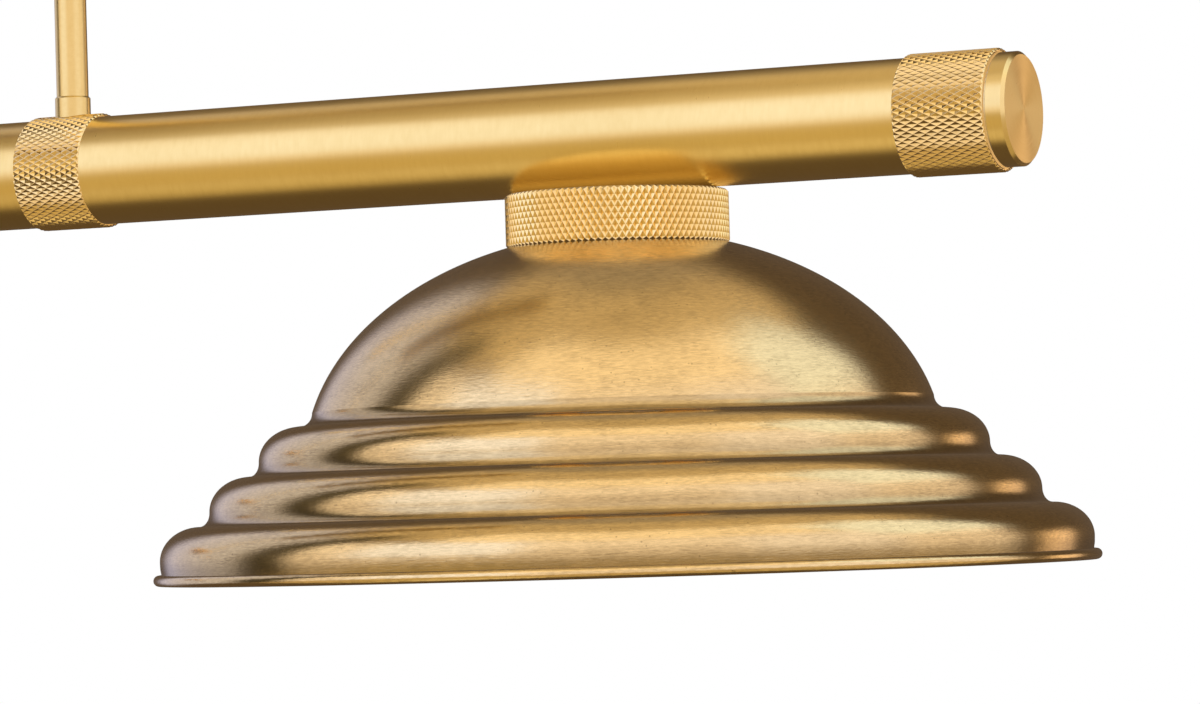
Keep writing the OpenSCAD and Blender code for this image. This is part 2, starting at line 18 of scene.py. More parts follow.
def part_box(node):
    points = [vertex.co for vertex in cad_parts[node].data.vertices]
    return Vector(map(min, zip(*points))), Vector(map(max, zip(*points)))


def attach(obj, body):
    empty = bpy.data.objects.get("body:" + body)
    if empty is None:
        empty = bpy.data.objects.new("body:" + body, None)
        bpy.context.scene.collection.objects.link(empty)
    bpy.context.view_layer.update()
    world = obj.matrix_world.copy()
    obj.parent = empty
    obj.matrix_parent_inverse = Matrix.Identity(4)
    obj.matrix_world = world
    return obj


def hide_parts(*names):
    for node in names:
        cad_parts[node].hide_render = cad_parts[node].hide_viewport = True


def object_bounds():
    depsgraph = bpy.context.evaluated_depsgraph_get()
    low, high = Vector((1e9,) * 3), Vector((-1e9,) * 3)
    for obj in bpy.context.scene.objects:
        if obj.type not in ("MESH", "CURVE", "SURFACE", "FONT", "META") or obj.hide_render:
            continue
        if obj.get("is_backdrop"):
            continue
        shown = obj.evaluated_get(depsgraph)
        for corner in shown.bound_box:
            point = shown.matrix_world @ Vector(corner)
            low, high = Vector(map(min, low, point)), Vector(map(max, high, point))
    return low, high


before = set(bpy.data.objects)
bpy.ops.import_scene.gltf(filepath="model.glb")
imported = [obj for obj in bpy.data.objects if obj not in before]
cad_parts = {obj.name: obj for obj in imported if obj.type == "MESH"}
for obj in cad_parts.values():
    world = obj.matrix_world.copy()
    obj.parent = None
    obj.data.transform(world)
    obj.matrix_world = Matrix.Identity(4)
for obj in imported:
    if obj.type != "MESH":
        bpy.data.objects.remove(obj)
CAD_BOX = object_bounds()

LOG = logging.getLogger("billiard_light")
MM = 0.001
TURN = 2 * math.pi

QUARTER_TURN = 0.25
PLAIN_RELIEF = 0.5
WHITE = (1.0, 1.0, 1.0)

Colour = tuple[float, float, float]
Outline = list[tuple[float, float]]


class Body(str, enum.Enum):
    """The two bodies of the frame."""

    CEILING = "ceiling_mount"
    HANGING = "hanging_frame"


class Slot(str, enum.Enum):
    """The record's material slots."""

    SATIN = "satin_brass"
    KNURLED = "knurled_brass"
    AGED = "aged_brass"
    ZINC = "zinc_steel"
    SHELL = "shell_brass"
    COPPER = "contact_copper"
    PORCELAIN = "porcelain"
    GREEN = "green_paint"
    BLACK = "black_cover"
    WHITE = "white_cover"


class Axis(enum.Enum):
    """The direction that a turned piece is turned about."""

    X = "x"
    Z = "z"

    def point(self, centre: Vector, radius: float, turn: float, along: float) -> Vector:
        """The point at a radius, an angle and a distance along the axis.

        Args:
            centre: The point that the axis goes through and that along is counted from.
            radius: Distance from the axis.
            turn: Angle round the axis, in radians.
            along: Distance along the axis.

        Returns:
            The point in the frame.
        """
        across, up = radius * math.cos(turn), radius * math.sin(turn)
        if self is Axis.X:
            return centre + Vector((along, across, up))
        return centre + Vector((across, up, along))


def middle_of(node: str) -> Vector:
    """The middle of a CAD node's box."""
    low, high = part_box(node)
    return (low + high) / 2


@dataclass(frozen=True)
class Thread:
    """A screw thread on an upright piece, as a rounded groove along a helix."""

    pitch: float
    depth: float

    def inset(self, turn: float, along: float) -> float:
        """How far the surface lies below the crest at an angle and a height."""
        return self.depth * (0.5 - 0.5 * math.cos(TURN * along / self.pitch - turn))


@dataclass
class MeshDraft:
    """Points and faces gathered before a mesh is made, with a relief value for each point.

    Relief is 1 on ridges and worn edges, 0 in grooves and creases, and 0.5 on plain surfaces. Low relief
    is painted as shade, and high relief on the knurl as a highlight.
    """

    points: list[Vector] = field(default_factory=list)
    relief: list[float] = field(default_factory=list)
    faces: list[tuple[int, ...]] = field(default_factory=list)

    def add(self, point: Vector, relief: float = PLAIN_RELIEF) -> int:
        """Adds a point.

        Args:
            point: Its place in the frame.
            relief: Its relief value.

        Returns:
            The point's index.
        """
        self.points.append(point)
        self.relief.append(relief)
        return len(self.points) - 1

    def lathe(self, outline: Outline, place: Callable[[float, float, float], Vector], segments: int,
              closed: bool = True, relief: Sequence[float] | None = None) -> None:
        """Turns an outline about an axis.

        Args:
            outline: Points of radius and distance along the axis.
            place: Gives the point in the frame for a radius, an angle and a distance along.
            segments: Number of steps round the axis.
            closed: Whether the outline's last point joins its first.
            relief: A relief value for each point of the outline.
        """
        rows = []
        for k, (radius, along) in enumerate(outline):
            value = relief[k] if relief else PLAIN_RELIEF
            if radius < 1e-7:
                rows.append([self.add(place(0.0, 0.0, along), value)] * segments)
            else:
                rows.append([self.add(place(radius, TURN * s / segments, along), value)
                             for s in range(segments)])
        pairs = list(zip(rows, rows[1:])) + ([(rows[-1], rows[0])] if closed else [])
        for low, high in pairs:
            for s in range(segments):
                t = (s + 1) % segments
                corners = list(dict.fromkeys((low[s], low[t], high[t], high[s])))
                if len(corners) > 2:
                    self.faces.append(tuple(corners))

    def threaded(self, centre: Vector, radius: float, low: float, high: float, thread: Thread,
                 segments: int = 24, rows_a_turn: int = 6) -> None:
        """Makes an upright threaded rod with tapered ends.

        Args:
            centre: A point on the rod's axis, at level 0.
            radius: Radius over the crests.
            low: Level of the lower end.
            high: Level of the upper end.
            thread: The thread.
            segments: Number of steps round the rod.
            rows_a_turn: Rows of points for each turn of the thread.
        """
        core, start, end = radius - thread.depth, low + thread.depth, high - thread.depth
        rows = round((end - start) / thread.pitch * rows_a_turn)
        crests = [(radius, start + (end - start) * k / rows) for k in range(rows + 1)]

        def place(r: float, t: float, z: float) -> Vector:
            """The point, lowered by the thread where it lies on the crests' radius."""
            return Axis.Z.point(centre, r - thread.inset(t, z) if r == radius else r, t, z)

        self.lathe([(0.0, low), (core, low)] + crests + [(core, high), (0.0, high)], place, segments,
                   closed=False)

    def hex_nut(self, centre: Vector, flats: float, bore: float, low: float, high: float,
                segments: int = 48, slope: float = 0.55, flat_share: float = 0.97,
                sink_share: float = 0.06) -> None:
        """Makes a hexagonal nut with turned-off corners and a countersunk bore.

        Args:
            centre: A point on the nut's axis, at level 0.
            flats: Width across the flats.
            bore: Radius of the bore.
            low: Level of the lower face.
            high: Level of the upper face.
            segments: Number of steps round the nut, a multiple of 6.
            slope: Drop of the turned-off corners for each step outwards.
            flat_share: Radius of the flat top as a share of half the width across the flats.
            sink_share: Depth of the countersink as the same share.
        """
        face, sixth = flats / 2, math.pi / 3
        flat_top, sink = flat_share * face, sink_share * face

        def side(turn: float) -> float:
            """Radius of the hexagon, whose corners lie on the X axis."""
            return face / math.cos(turn % sixth - sixth / 2)

        def place(r: float, t: float, z: float) -> Vector:
            """The point, with rows wider than the flat top pushed out to the hexagon.

            Args:
                r: Radius of the row.
                t: Angle round the nut.
                z: Level of the row.

            Returns:
                The point in the frame.
            """
            if r <= flat_top:
                return Axis.Z.point(centre, r, t, z)
            drop = (side(t) - flat_top) * slope
            return Axis.Z.point(centre, side(t), t, z + drop if z == low else z - drop)

        self.lathe([(bore + sink, low), (flat_top, low), (face, low), (face, high), (flat_top, high),
                    (bore + sink, high), (bore, high - sink), (bore, low + sink)], place, segments)

    def prism(self, outline: Sequence[Vector], rise: Vector) -> None:
        """Extrudes a flat outline.

        Args:
            outline: Its points in order.
            rise: The way from the first face to the second.
        """
        low = [self.add(point) for point in outline]
        high = [self.add(point + rise) for point in outline]
        self.faces += [tuple(low), tuple(high)]
        for k in range(len(low)):
            m = (k + 1) % len(low)
            self.faces.append((low[k], low[m], high[m], high[k]))

    def piece(self, name: str, smooth_below: float = 35.0) -> bpy.types.Object:
        """Makes a Blender object of the draft.

        Args:
            name: The object's name.
            smooth_below: Edges flatter than this angle, in degrees, are shaded smooth.

        Returns:
            The new object, linked to the scene.
        """
        mesh = bpy.data.meshes.new(name)
        mesh.from_pydata(self.points, [], self.faces)
        attribute = mesh.attributes.new("relief", "FLOAT", "POINT")
        attribute.data.foreach_set("value", self.relief)
        work = bmesh.new()
        work.from_mesh(mesh)
        bmesh.ops.recalc_face_normals(work, faces=work.faces)
        work.to_mesh(mesh)
        work.free()
        mesh.polygons.foreach_set("use_smooth", [True] * len(mesh.polygons))
        mesh.set_sharp_from_angle(angle=math.radians(smooth_below))
        made = bpy.data.objects.new(name, mesh)
        bpy.context.scene.collection.objects.link(made)
        return made


def arc(centre: tuple[float, float], radius: tuple[float, float], start: float, end: float,
        steps: int) -> Outline:
    """Points of a round or elliptical arc in an outline.

    Args:
        centre: The arc's centre.
        radius: Its half-width and half-height.
        start: The first angle, in degrees.
        end: The last angle, in degrees.
        steps: Number of chords.

    Returns:
        The points from start to end.
    """
    turns = (math.radians(start + (end - start) * k / steps) for k in range(steps + 1))
    return [(centre[0] + radius[0] * math.cos(t), centre[1] + radius[1] * math.sin(t)) for t in turns]


class ShaderDraft:
    """A shader tree being built, in a material or in a group."""

    def __init__(self, tree: bpy.types.NodeTree) -> None:
        """Starts on an existing tree."""
        self.tree = tree

    def feed(self, socket: bpy.types.NodeSocket, value: object) -> None:
        """Links a socket to another, or sets its own value.

        Args:
            socket: The socket that is fed.
            value: A socket to link, or a number, a tuple or a colour to set.
        """
        if isinstance(value, bpy.types.NodeSocket):
            self.tree.links.new(value, socket)
        elif isinstance(value, tuple) and len(value) == 3 and socket.type == "RGBA":
            socket.default_value = (*value, 1.0)
        else:
            socket.default_value = value

    def add(self, kind: str, inputs: Mapping[str | int, object] | None = None,
            **settings: object) -> bpy.types.Node:
        """Adds a node.

        Args:
            kind: The node's type without its ShaderNode prefix.
            inputs: Sockets by name or index, each with a value or a socket to link.
            **settings: Properties of the node.

        Returns:
            The new node.
        """
        node = self.tree.nodes.new("ShaderNode" + kind)
        for name, value in settings.items():
            setattr(node, name, value)
        for name, value in (inputs or {}).items():
            self.feed(node.inputs[name], value)
        return node

    def math(self, operation: str, *values: object, clamp: bool = False) -> bpy.types.NodeSocket:
        """The result of a Math node."""
        return self.add("Math", dict(enumerate(values)), operation=operation, use_clamp=clamp).outputs[0]

    def vector(self, operation: str, *values: object) -> bpy.types.NodeSocket:
        """The vector result of a Vector Math node."""
        return self.add("VectorMath", dict(enumerate(values)), operation=operation).outputs[0]

    def scaled(self, vector: object, scale: object) -> bpy.types.NodeSocket:
        """A vector times a number."""
        return self.add("VectorMath", {0: vector, "Scale": scale}, operation="SCALE").outputs[0]

    def noise(self, vector: object, scale: float, detail: float = 2.0,
              rough: float = 0.5) -> bpy.types.NodeSocket:
        """The value of a Noise Texture node."""
        return self.add("TexNoise", {"Vector": vector, "Scale": scale, "Detail": detail,
                                     "Roughness": rough}).outputs[0]

    def spread(self, value: object, low: float, high: float, to_low: float = 0.0,
               to_high: float = 1.0) -> bpy.types.NodeSocket:
        """A value mapped from one range to another and clamped."""
        return self.add("MapRange", {"Value": value, "From Min": low, "From Max": high,
                                     "To Min": to_low, "To Max": to_high}).outputs[0]

    def blend(self, factor: object, first: object, second: object,
              blend_type: str = "MIX") -> bpy.types.NodeSocket:
        """Two colours mixed by a factor."""
        return self.add("Mix", {0: factor, 6: first, 7: second}, data_type="RGBA",
                        blend_type=blend_type).outputs[2]

    def tint(self, tone: object, shade: Colour, mask: object, share: float) -> bpy.types.NodeSocket:
        """A colour that goes towards a shade by a share of a mask."""
        return self.blend(self.math("MULTIPLY", mask, share), tone, shade)

    def bump(self, height: object, strength: float, distance: float,
             normal: object | None = None) -> bpy.types.NodeSocket:
        """The normal of a Bump node.

        Args:
            height: The height that the surface follows.
            strength: How strongly it does.
            distance: Height in metres that a value of 1 stands for.
            normal: A normal that it starts from.

        Returns:
            The new normal.
        """
        inputs = {"Height": height, "Strength": strength, "Distance": distance}
        if normal is not None:
            inputs["Normal"] = normal
        return self.add("Bump", inputs).outputs[0]


class ShaderGroups:
    """The effects that several materials share, each built once as a node group."""

    LINE_ROUGHNESS = 0.62
    STREAK_SHARE = 0.12
    STREAK_SCALE = 1.3
    CLOUD_SCALE = 16.0
    MOTTLE_SCALE = 60.0
    SPECK_SCALE = 420.0
    SPECK_CLUSTER_SCALE = 130.0
    FLECK_SCALE = 340.0
    FLECK_STRETCH = (1.0, 1.0, 6.0)
    WEAR_SCALE = 140.0

    def __init__(self) -> None:
        """Starts with no group built."""
        self.built: dict[str, bpy.types.NodeTree] = {}

    def group(self, name: str, inputs: Mapping[str, tuple[str, object]], outputs: Sequence[str],
              fill: Callable[[ShaderDraft, Mapping[str, bpy.types.NodeSocket], bpy.types.Node], None]
              ) -> bpy.types.NodeTree:
        """Finds a group or builds it.

        Args:
            name: The group's name.
            inputs: Each input's socket type and default value.
            outputs: Names of its value outputs.
            fill: Builds the nodes between the inputs and the output node.

        Returns:
            The group's tree.
        """
        if name not in self.built:
            tree = bpy.data.node_groups.new(name, "ShaderNodeTree")
            for label, (kind, value) in inputs.items():
                socket = tree.interface.new_socket(label, in_out="INPUT", socket_type="NodeSocket" + kind)
                if value is not None:
                    socket.default_value = value
            for label in outputs:
                tree.interface.new_socket(label, in_out="OUTPUT", socket_type="NodeSocketFloat")
            entry, result = tree.nodes.new("NodeGroupInput"), tree.nodes.new("NodeGroupOutput")
            fill(ShaderDraft(tree), {s.name: s for s in entry.outputs if s.name}, result)
            self.built[name] = tree
        return self.built[name]

    def place(self, draft: ShaderDraft, tree: bpy.types.NodeTree,
              inputs: Mapping[str, object]) -> bpy.types.Node:
        """Puts a group in a material with its own values.

        Args:
            draft: The material's tree.
            tree: The group's tree.
            inputs: Values or sockets for the group's inputs, by name.

        Returns:
            The group's node.
        """
        node = draft.tree.nodes.new("ShaderNodeGroup")
        node.node_tree = tree
        for name, value in inputs.items():
            draft.feed(node.inputs[name], value)
        return node

    def grain(self, axis: Axis) -> bpy.types.NodeTree:
        """Fine lines round an axis, as brushing or spinning leaves them, with soft clouds.

        Args:
            axis: The direction of the axis.

        Returns:
            The group's tree.
        """

        def fill(draft: ShaderDraft, given: Mapping[str, bpy.types.NodeSocket],
                 result: bpy.types.Node) -> None:
            """Builds the lines, streaks and clouds.

            Args:
                draft: The group's tree.
                given: The group's inputs.
                result: The group's output node.
            """
            place = draft.vector("SUBTRACT", given["Vector"], given["Centre"])
            parts = draft.add("SeparateXYZ", {0: place}).outputs
            first, second, along = (1, 2, 0) if axis is Axis.X else (0, 1, 2)
            flat = draft.add("CombineXYZ", {0: parts[first], 1: parts[second]}).outputs[0]
            radius = draft.add("VectorMath", {0: flat}, operation="LENGTH").outputs["Value"]
            circle = draft.scaled(draft.vector("NORMALIZE", flat), given["Waver"])
            level = draft.math("MULTIPLY", draft.math("ADD", parts[along], radius), given["Fineness"])
            lines = draft.vector("ADD", circle, draft.add("CombineXYZ", {2: level}).outputs[0])
            draft.feed(result.inputs["Lines"], draft.noise(lines, 1.0, 3.0, self.LINE_ROUGHNESS))
            broad = draft.vector("ADD", circle, draft.add(
                "CombineXYZ", {2: draft.math("MULTIPLY", level, self.STREAK_SHARE)}).outputs[0])
            draft.feed(result.inputs["Streaks"], draft.noise(broad, self.STREAK_SCALE))
            draft.feed(result.inputs["Clouds"], draft.noise(given["Vector"], self.CLOUD_SCALE))

        return self.group(f"grain_about_{axis.value}", {
            "Vector": ("Vector", None), "Centre": ("Vector", None),
            "Fineness": ("Float", 4000.0), "Waver": ("Float", 3.0),
        }, ["Lines", "Streaks", "Clouds"], fill)

    def tarnish(self) -> bpy.types.NodeTree:
        """Soft mottling, small dark specks and level flecks on an aged surface.

        Returns:
            The group's tree.
        """

        def fill(draft: ShaderDraft, given: Mapping[str, bpy.types.NodeSocket],
                 result: bpy.types.Node) -> None:
            """Builds the mottling, specks and flecks.

            Args:
                draft: The group's tree.
                given: The group's inputs.
                result: The group's output node.
            """
            scaled = draft.scaled(given["Vector"], given["Density"])
            mottle = draft.noise(scaled, self.MOTTLE_SCALE, 5.0, 0.62)
            draft.feed(result.inputs["Mottle"], draft.spread(mottle, 0.35, 0.68))
            cells = draft.add("TexVoronoi", {"Vector": scaled, "Scale": self.SPECK_SCALE})
            dots = draft.spread(cells.outputs["Distance"], 0.10, 0.19, 1.0, 0.0)
            rare = draft.spread(draft.noise(scaled, self.SPECK_CLUSTER_SCALE), 0.52, 0.62)
            draft.feed(result.inputs["Specks"], draft.math("MULTIPLY", dots, rare, clamp=True))
            level = draft.vector("MULTIPLY", scaled, self.FLECK_STRETCH)
            flecks = draft.noise(level, self.FLECK_SCALE, 2.0, 0.6)
            draft.feed(result.inputs["Flecks"], draft.spread(flecks, 0.3, 0.7))

        return self.group("tarnish", {"Vector": ("Vector", None), "Density": ("Float", 1.0)},
                          ["Mottle", "Specks", "Flecks"], fill)

    def relief(self) -> bpy.types.NodeTree:
        """Masks of ridges and creases from the mesh's relief: painted shade in creases, and a painted
        highlight or smoothness on ridges.

        Returns:
            The group's tree.
        """

        def fill(draft: ShaderDraft, given: Mapping[str, bpy.types.NodeSocket],
                 result: bpy.types.Node) -> None:
            """Builds both masks, with uneven edges.

            Args:
                draft: The group's tree.
                given: The group's inputs.
                result: The group's output node.
            """
            value = draft.add("Attribute", attribute_name="relief").outputs["Fac"]
            patchy = draft.noise(given["Vector"], self.WEAR_SCALE, 3.0, 0.6)
            uneven = draft.math("MULTIPLY_ADD", draft.math("SUBTRACT", patchy, 0.5), given["Patchiness"],
                                value)
            draft.feed(result.inputs["Ridge"], draft.spread(uneven, 0.55, 1.0))
            draft.feed(result.inputs["Crease"], draft.spread(uneven, 0.0, 0.45, 1.0, 0.0))

        return self.group("relief", {"Vector": ("Vector", None), "Patchiness": ("Float", 0.3)},
                          ["Ridge", "Crease"], fill)


GROUPS = ShaderGroups()


@dataclass(frozen=True)
class Finish:
    """A surface finish. Each kind adds its own nodes to the Principled shader."""

    slot: Slot
    tone: Colour
    roughness: float = 0.3
    GRAIN_HEIGHT: ClassVar[float] = 0.0002

    def dress(self, draft: ShaderDraft, shader: bpy.types.Node, where: bpy.types.NodeSocket) -> None:
        """Adds the finish's nodes to the tree.

        Args:
            draft: The material's tree.
            shader: Its Principled shader.
            where: The place on the surface, in metres.
        """
        raise NotImplementedError

    def material(self) -> bpy.types.Material:
        """Finds or makes the material.

        Returns:
            The material.
        """
        if self in FINISHED:
            return FINISHED[self]
        made = bpy.data.materials.new(f"{self.slot.value}_{len(FINISHED) + 1}")
        FINISHED[self] = made
        made.use_nodes = True
        made.node_tree.nodes.clear()
        draft = ShaderDraft(made.node_tree)
        shader = draft.add("BsdfPrincipled", {"Roughness": self.roughness})
        output = draft.add("OutputMaterial")
        draft.feed(output.inputs["Surface"], shader.outputs[0])
        self.dress(draft, shader, draft.add("TexCoord").outputs["Object"])
        return made

    def uneven(self, draft: ShaderDraft, value: object, low: float, high: float, less: float,
               more: float) -> bpy.types.NodeSocket:
        """The roughness, which is less where a value is at its low and more where it is at its high."""
        return draft.spread(value, low, high, self.roughness - less, self.roughness + more)

    def stretch(self, draft: ShaderDraft, shader: bpy.types.Node, axis: Axis, amount: float) -> None:
        """Stretches highlights across grain that runs round an axis.

        Args:
            draft: The material's tree.
            shader: Its Principled shader.
            axis: The axis that the grain runs round.
            amount: How much the highlights are stretched, from 0 to 1.
        """
        shader.inputs["Anisotropic"].default_value = amount
        shader.inputs["Anisotropic Rotation"].default_value = QUARTER_TURN
        tangent = draft.add("Tangent", direction_type="RADIAL", axis=axis.name)
        draft.feed(shader.inputs["Tangent"], tangent.outputs[0])


FINISHED: dict[Finish, bpy.types.Material] = {}


@dataclass(frozen=True)
class BrushedMetal(Finish):
    """Metal brushed round an axis: fine lines, soft clouds and a darker tone where it is duller."""

    shade: Colour = (0.5, 0.3, 0.1)
    axis: Axis = Axis.Z
    centre: tuple[float, float, float] = (0.0, 0.0, 0.0)
    fineness: float = 3600.0
    waver: float = 3.0
    line_depth: float = 0.10
    contrast: float = 0.22
    anisotropy: float = 0.5

    def dress(self, draft: ShaderDraft, shader: bpy.types.Node, where: bpy.types.NodeSocket) -> None:
        """Adds the brushing to colour, roughness and normal.

        Args:
            draft: The material's tree.
            shader: Its Principled shader.
            where: The place on the surface, in metres.
        """
        grain = GROUPS.place(draft, GROUPS.grain(self.axis), {
            "Vector": where, "Centre": self.centre, "Fineness": self.fineness, "Waver": self.waver})
        lines, streaks, clouds = (grain.outputs[n] for n in ("Lines", "Streaks", "Clouds"))
        dull = draft.math("MULTIPLY", draft.math("ADD", draft.spread(lines, 0.3, 0.7),
                                                 draft.spread(streaks, 0.3, 0.7)), 0.5)
        tone = draft.blend(draft.math("MULTIPLY", dull, self.contrast), self.tone, self.shade)
        tone = draft.blend(draft.spread(clouds, 0.35, 0.7, 0.0, self.contrast), tone, self.shade)
        draft.feed(shader.inputs["Base Color"], tone)
        draft.feed(shader.inputs["Metallic"], 1.0)
        draft.feed(shader.inputs["Roughness"], self.uneven(draft, dull, 0.0, 1.0, 0.03, 0.05))
        draft.feed(shader.inputs["Normal"], draft.bump(lines, self.line_depth, self.GRAIN_HEIGHT))
        self.stretch(draft, shader, self.axis, self.anisotropy)


@dataclass(frozen=True)
class KnurledMetal(Finish):
    """Cut knurl with fine tool marks, with painted shade in its grooves and a painted highlight on its
    ridges.
    """

    # The groove colour is painted shade in the grooves; the ridge colour is a painted highlight on the
    # ridges.
    groove: Colour = (0.3, 0.17, 0.06)
    ridge_highlight: Colour = (1.0, 0.86, 0.62)
    patchiness: float = 0.15
    groove_shade_share: float = 0.22
    ridge_share: float = 0.14
    mark_scale: float = 5200.0

    def dress(self, draft: ShaderDraft, shader: bpy.types.Node, where: bpy.types.NodeSocket) -> None:
        """Adds painted shade in the grooves, a painted highlight on the ridges, and the tool marks.

        Args:
            draft: The material's tree.
            shader: Its Principled shader.
            where: The place on the surface, in metres.
        """
        relief = GROUPS.place(draft, GROUPS.relief(), {"Vector": where, "Patchiness": self.patchiness})
        # Painted shade in the grooves, then a painted highlight on the ridges.
        tone = draft.tint(self.tone, self.groove, relief.outputs["Crease"], self.groove_shade_share)
        tone = draft.tint(tone, self.ridge_highlight, relief.outputs["Ridge"], self.ridge_share)
        marks = draft.noise(where, self.mark_scale, 2.0, 0.6)
        draft.feed(shader.inputs["Base Color"], tone)
        draft.feed(shader.inputs["Metallic"], 1.0)
        draft.feed(shader.inputs["Roughness"], self.uneven(draft, marks, 0.3, 0.7, 0.03, 0.06))
        draft.feed(shader.inputs["Normal"], draft.bump(marks, 0.08, self.GRAIN_HEIGHT / 2))


@dataclass(frozen=True)
class AgedMetal(Finish):
    """Spun brass, darkened by age and rubbed back, with grain round the shade."""

    # The tarnish tone is also what the painted shade in the creases and near the neck is mixed towards.
    tarnish: Colour = (0.26, 0.182, 0.07)
    centre: tuple[float, float, float] = (0.0, 0.0, 0.0)
    fineness: float = 1500.0
    waver: float = 9.0
    anisotropy: float = 0.5
    patchiness: float = 0.35
    fibre_share: float = 0.62
    mottle_share: float = 0.12
    fleck_share: float = 0.22
    crease_patina_and_shade_share: float = 0.6
    speck_share: float = 0.5
    fibre_dulling: float = 0.12
    ridge_polish: float = 0.05
    fleck_height: float = 0.6
    bump_strength: float = 0.15

    def dress(self, draft: ShaderDraft, shader: bpy.types.Node, where: bpy.types.NodeSocket) -> None:
        """Adds grain, mottling, specks, rubbed bulges, and creases darkened by patina and painted shade.

        Args:
            draft: The material's tree.
            shader: Its Principled shader.
            where: The place on the surface, in metres.
        """
        grain = GROUPS.place(draft, GROUPS.grain(Axis.Z), {
            "Vector": where, "Centre": self.centre, "Fineness": self.fineness, "Waver": self.waver})
        aged = GROUPS.place(draft, GROUPS.tarnish(), {"Vector": where, "Density": 1.0})
        relief = GROUPS.place(draft, GROUPS.relief(), {"Vector": where, "Patchiness": self.patchiness})
        lines, streaks = grain.outputs["Lines"], grain.outputs["Streaks"]
        fibre = draft.math("MULTIPLY", draft.spread(lines, 0.3, 0.72), draft.spread(streaks, 0.2, 0.8))
        fibre = draft.math("MULTIPLY", fibre, aged.outputs["Flecks"], clamp=True)
        tone: object = self.tone
        # The crease mask adds painted shade as well as patina; the other masks are the metal's own
        # tarnish.
        for mask, share in ((fibre, self.fibre_share), (aged.outputs["Mottle"], self.mottle_share),
                            (aged.outputs["Flecks"], self.fleck_share),
                            (relief.outputs["Crease"], self.crease_patina_and_shade_share),
                            (aged.outputs["Specks"], self.speck_share)):
            tone = draft.tint(tone, self.tarnish, mask, share)
        draft.feed(shader.inputs["Base Color"], tone)
        draft.feed(shader.inputs["Metallic"], 1.0)
        rough = draft.math("MULTIPLY_ADD", fibre, self.fibre_dulling, self.roughness)
        rough = draft.math("MULTIPLY_ADD", relief.outputs["Ridge"], -self.ridge_polish, rough)
        draft.feed(shader.inputs["Roughness"], rough)
        height = draft.math("MULTIPLY_ADD", aged.outputs["Flecks"], self.fleck_height, lines)
        draft.feed(shader.inputs["Normal"], draft.bump(height, self.bump_strength, self.GRAIN_HEIGHT))
        self.stretch(draft, shader, Axis.Z, self.anisotropy)


@dataclass(frozen=True)
class PlatedSteel(Finish):
    """Zinc plate: cool, faintly mottled, with fine scuffs."""

    cast: Colour = (0.5, 0.5, 0.42)
    density: float = 1.6
    scuff_stretch: tuple[float, float, float] = (1.0, 12.0, 6.0)
    scuff_scale: float = 260.0

    def dress(self, draft: ShaderDraft, shader: bpy.types.Node, where: bpy.types.NodeSocket) -> None:
        """Adds the plate's mottling and scuffs.

        Args:
            draft: The material's tree.
            shader: Its Principled shader.
            where: The place on the surface, in metres.
        """
        aged = GROUPS.place(draft, GROUPS.tarnish(), {"Vector": where, "Density": self.density})
        stretched = draft.vector("MULTIPLY", where, self.scuff_stretch)
        scuffs = draft.noise(stretched, self.scuff_scale, 3.0, 0.6)
        tone = draft.tint(self.tone, self.cast, aged.outputs["Mottle"], 0.45)
        draft.feed(shader.inputs["Base Color"], tone)
        draft.feed(shader.inputs["Metallic"], 1.0)
        draft.feed(shader.inputs["Roughness"], self.uneven(draft, scuffs, 0.3, 0.7, 0.06, 0.1))
        draft.feed(shader.inputs["Normal"], draft.bump(scuffs, 0.06, self.GRAIN_HEIGHT))


@dataclass(frozen=True)
class Glazed(Finish):
    """Glazed porcelain with a slight cream cast and a soft waviness."""

    cast: Colour = (0.82, 0.77, 0.66)
    speck: Colour = (0.5, 0.42, 0.3)
    density: float = 0.7
    wave_scale: float = 190.0
    wave_height: float = 0.0004

    def dress(self, draft: ShaderDraft, shader: bpy.types.Node, where: bpy.types.NodeSocket) -> None:
        """Adds the glaze over an uneven body.

        Args:
            draft: The material's tree.
            shader: Its Principled shader.
            where: The place on the surface, in metres.
        """
        aged = GROUPS.place(draft, GROUPS.tarnish(), {"Vector": where, "Density": self.density})
        tone = draft.tint(self.tone, self.cast, aged.outputs["Mottle"], 0.5)
        tone = draft.tint(tone, self.speck, aged.outputs["Specks"], 0.25)
        draft.feed(shader.inputs["Base Color"], tone)
        draft.feed(shader.inputs["Coat Weight"], 0.6)
        draft.feed(shader.inputs["Coat Roughness"], 0.08)
        waves = draft.noise(where, self.wave_scale)
        draft.feed(shader.inputs["Normal"], draft.bump(waves, 0.05, self.wave_height))


@dataclass(frozen=True)
class Coating(Finish):
    """Paint or a lead's cover: faint orange peel and rubbed patches."""

    rubbed: Colour = (0.5, 0.5, 0.5)
    density: float = 2.0
    peel_scale: float = 1500.0

    def dress(self, draft: ShaderDraft, shader: bpy.types.Node, where: bpy.types.NodeSocket) -> None:
        """Adds the peel and the rubbed patches.

        Args:
            draft: The material's tree.
            shader: Its Principled shader.
            where: The place on the surface, in metres.
        """
        aged = GROUPS.place(draft, GROUPS.tarnish(), {"Vector": where, "Density": self.density})
        peel = draft.noise(where, self.peel_scale)
        tone = draft.tint(self.tone, self.rubbed, aged.outputs["Mottle"], 0.3)
        draft.feed(shader.inputs["Base Color"], tone)
        draft.feed(shader.inputs["Roughness"], self.uneven(draft, peel, 0.3, 0.7, 0.05, 0.08))
        draft.feed(shader.inputs["Normal"], draft.bump(peel, 0.08, self.GRAIN_HEIGHT))


BRASS_TONE: Colour = (0.93, 0.70, 0.25)
BRASS_SHADE: Colour = (0.74, 0.505, 0.13)


def rounded(centre: Vector) -> tuple[float, ...]:
    """A point to the hundredth of a millimetre, so that equal finishes share one material."""
    return tuple(round(c, 5) for c in centre)


def satin(axis: Axis, centre: Vector, roughness: float = 0.3) -> BrushedMetal:
    """Satin brass brushed round an axis through a point."""
    return BrushedMetal(Slot.SATIN, BRASS_TONE, roughness, shade=BRASS_SHADE, axis=axis,
                        centre=rounded(centre))


